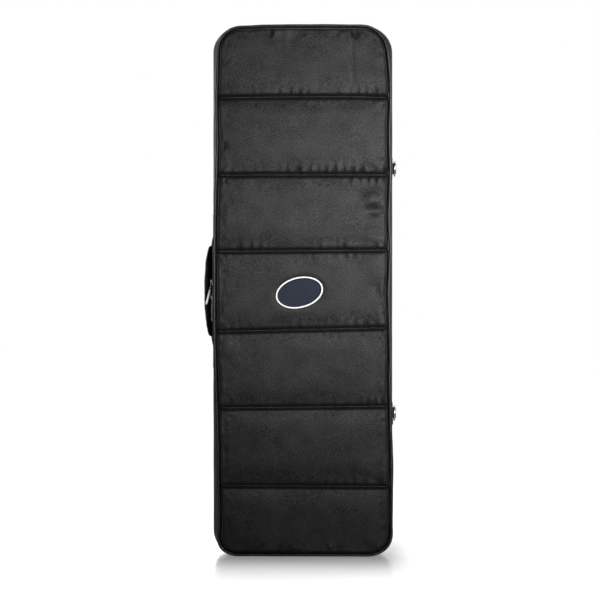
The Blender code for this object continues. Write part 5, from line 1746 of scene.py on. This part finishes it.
def make_floor():
    """A white floor with a soft reflection that fades away from the bag. Its glow is dimmed near the bag as
    painted shade, which lets the lamps' real shadow show there.
    """
    nodes, surface = stage_sheet("floor", (0, 0, FLOOR_Z), (0, 0, 0))
    calc = nodes.math
    x, y, _ = nodes.new("SeparateXYZ", nodes.new("NewGeometry").outputs["Position"]).outputs
    edges = ((x, HALF_WIDTH), (y, PIPING_Y))
    beside, before = [calc("MAXIMUM", calc("SUBTRACT", calc("ABSOLUTE", at), edge)) for at, edge in edges]
    beside = calc("MULTIPLY", beside, FLOOR_SIDE_FADE)
    away = calc("SQRT", calc("ADD", calc("POWER", beside, 2.0), calc("POWER", before, 2.0)))
    near = nodes.fading(away, FLOOR_NEAR, 2.0)
    # Painted shade: the glow is a little less near the bag, and the lamps' real light makes it up wherever the
    # bag casts no shadow
    level = calc("SUBTRACT", FLOOR_GLOW, calc("MULTIPLY", near, FLOOR_GLOW_NEAR_LESS))
    glow = nodes.new("Emission", Color=WHITE, Strength=calc("MULTIPLY", nodes.seen_by("Camera"), level))
    diffuse = nodes.new("BsdfDiffuse", Color=(FLOOR_WHITE,) * 3)
    lit = nodes.new("AddShader", diffuse.outputs[0], glow.outputs[0])
    gloss = nodes.new("BsdfGlossy", Color=WHITE, Roughness=FLOOR_ROUGHNESS)
    grazing = calc("MULTIPLY", nodes.new("Fresnel").outputs[0], FLOOR_MIRROR)
    mirror = calc("MINIMUM", grazing, FLOOR_MIRROR_MOST)
    share = calc("MULTIPLY", mirror, nodes.fading(away, FLOOR_FADE, FLOOR_FADE_POWER))
    nodes.feed(surface, nodes.new("MixShader", share, lit.outputs[0], gloss.outputs[0]).outputs[0])


def make_backdrop():
    """A white sheet behind the bag, seen by the camera and in reflections."""
    nodes, surface = stage_sheet("backdrop", (0, BACKDROP_Y, 0), (math.pi / 2, 0, 0))
    seen = nodes.math("MULTIPLY_ADD", nodes.seen_by("Glossy"), BACKDROP_IN_GLOSS, nodes.seen_by("Camera"))
    nodes.feed(surface, nodes.new("Emission", Strength=seen).outputs[0])


def make_world():
    """White to the camera, a dim grey as light."""
    world = bpy.data.worlds.new("studio")
    bpy.context.scene.world = world
    world.use_nodes = True
    nodes = Nodes(world.node_tree)
    background = world.node_tree.nodes["Background"]
    nodes.feed(background.inputs["Color"], WHITE)
    nodes.feed(background.inputs["Strength"], nodes.between(nodes.seen_by("Camera"), WORLD_LIGHT, 1))


def area_light(name, place, target, wide, tall, power, spread_degrees):
    data = bpy.data.lights.new(name, "AREA")
    data.shape = "RECTANGLE"
    data.size, data.size_y, data.energy = wide, tall, power
    data.spread = math.radians(spread_degrees)
    light = bpy.data.objects.new(name, data)
    light.location = place
    light.rotation_euler = (Vector(target) - Vector(place)).to_track_quat("-Z", "Y").to_euler()
    bpy.context.scene.collection.objects.link(light)


def make_camera():
    """A long lens at the photograph's angle, framed so that the bag lies where the photograph has it."""
    data = bpy.data.cameras.new("camera")
    data.lens = SENSOR * CAMERA_DISTANCE / (PHOTO_SIZE * METRES_PER_PIXEL)
    data.sensor_width = SENSOR
    camera = bpy.data.objects.new("camera", data)
    half = PHOTO_SIZE / 2
    target_x = (half - MIDDLE_PX[0]) * METRES_PER_PIXEL
    target_z = MIDDLE_Z - (half - MIDDLE_PX[1]) * METRES_PER_PIXEL
    azimuth, elevation = math.radians(CAMERA_AZIMUTH_DEGREES), math.radians(CAMERA_ELEVATION_DEGREES)
    level = math.cos(elevation)
    back = Vector((math.sin(azimuth) * level, -math.cos(azimuth) * level, math.sin(elevation)))
    camera.location = Vector((target_x, -PIPING_Y, target_z)) + back * CAMERA_DISTANCE
    camera.rotation_euler = (-back).to_track_quat("-Z", "Y").to_euler()
    bpy.context.scene.collection.objects.link(camera)
    bpy.context.scene.camera = camera


make_floor()
make_backdrop()
make_world()
area_light("key", (0.50, -2.20, 0.80), (0.22, -0.06, 0.68), 0.40, 0.40, 5.7, 46)
area_light("right_fill", (2.20, 0.60, 0.95), (0.18, 0.03, 0.60), 1.00, 1.20, 3.6, 80)
area_light("left_fill", (-1.90, 1.10, 0.95), (-0.18, 0.03, 0.60), 1.00, 1.20, 2.4, 80)
area_light("top_fill", (0.20, 0.90, 3.20), (0.0, 0.03, 1.00), 0.80, 0.80, 1.5, 50)
area_light("back_fill", (-0.40, 2.60, 1.10), (0.0, 0.06, 0.60), 1.00, 1.20, 6.0, 80)
make_camera()
bpy.context.scene.view_settings.view_transform = "Standard"
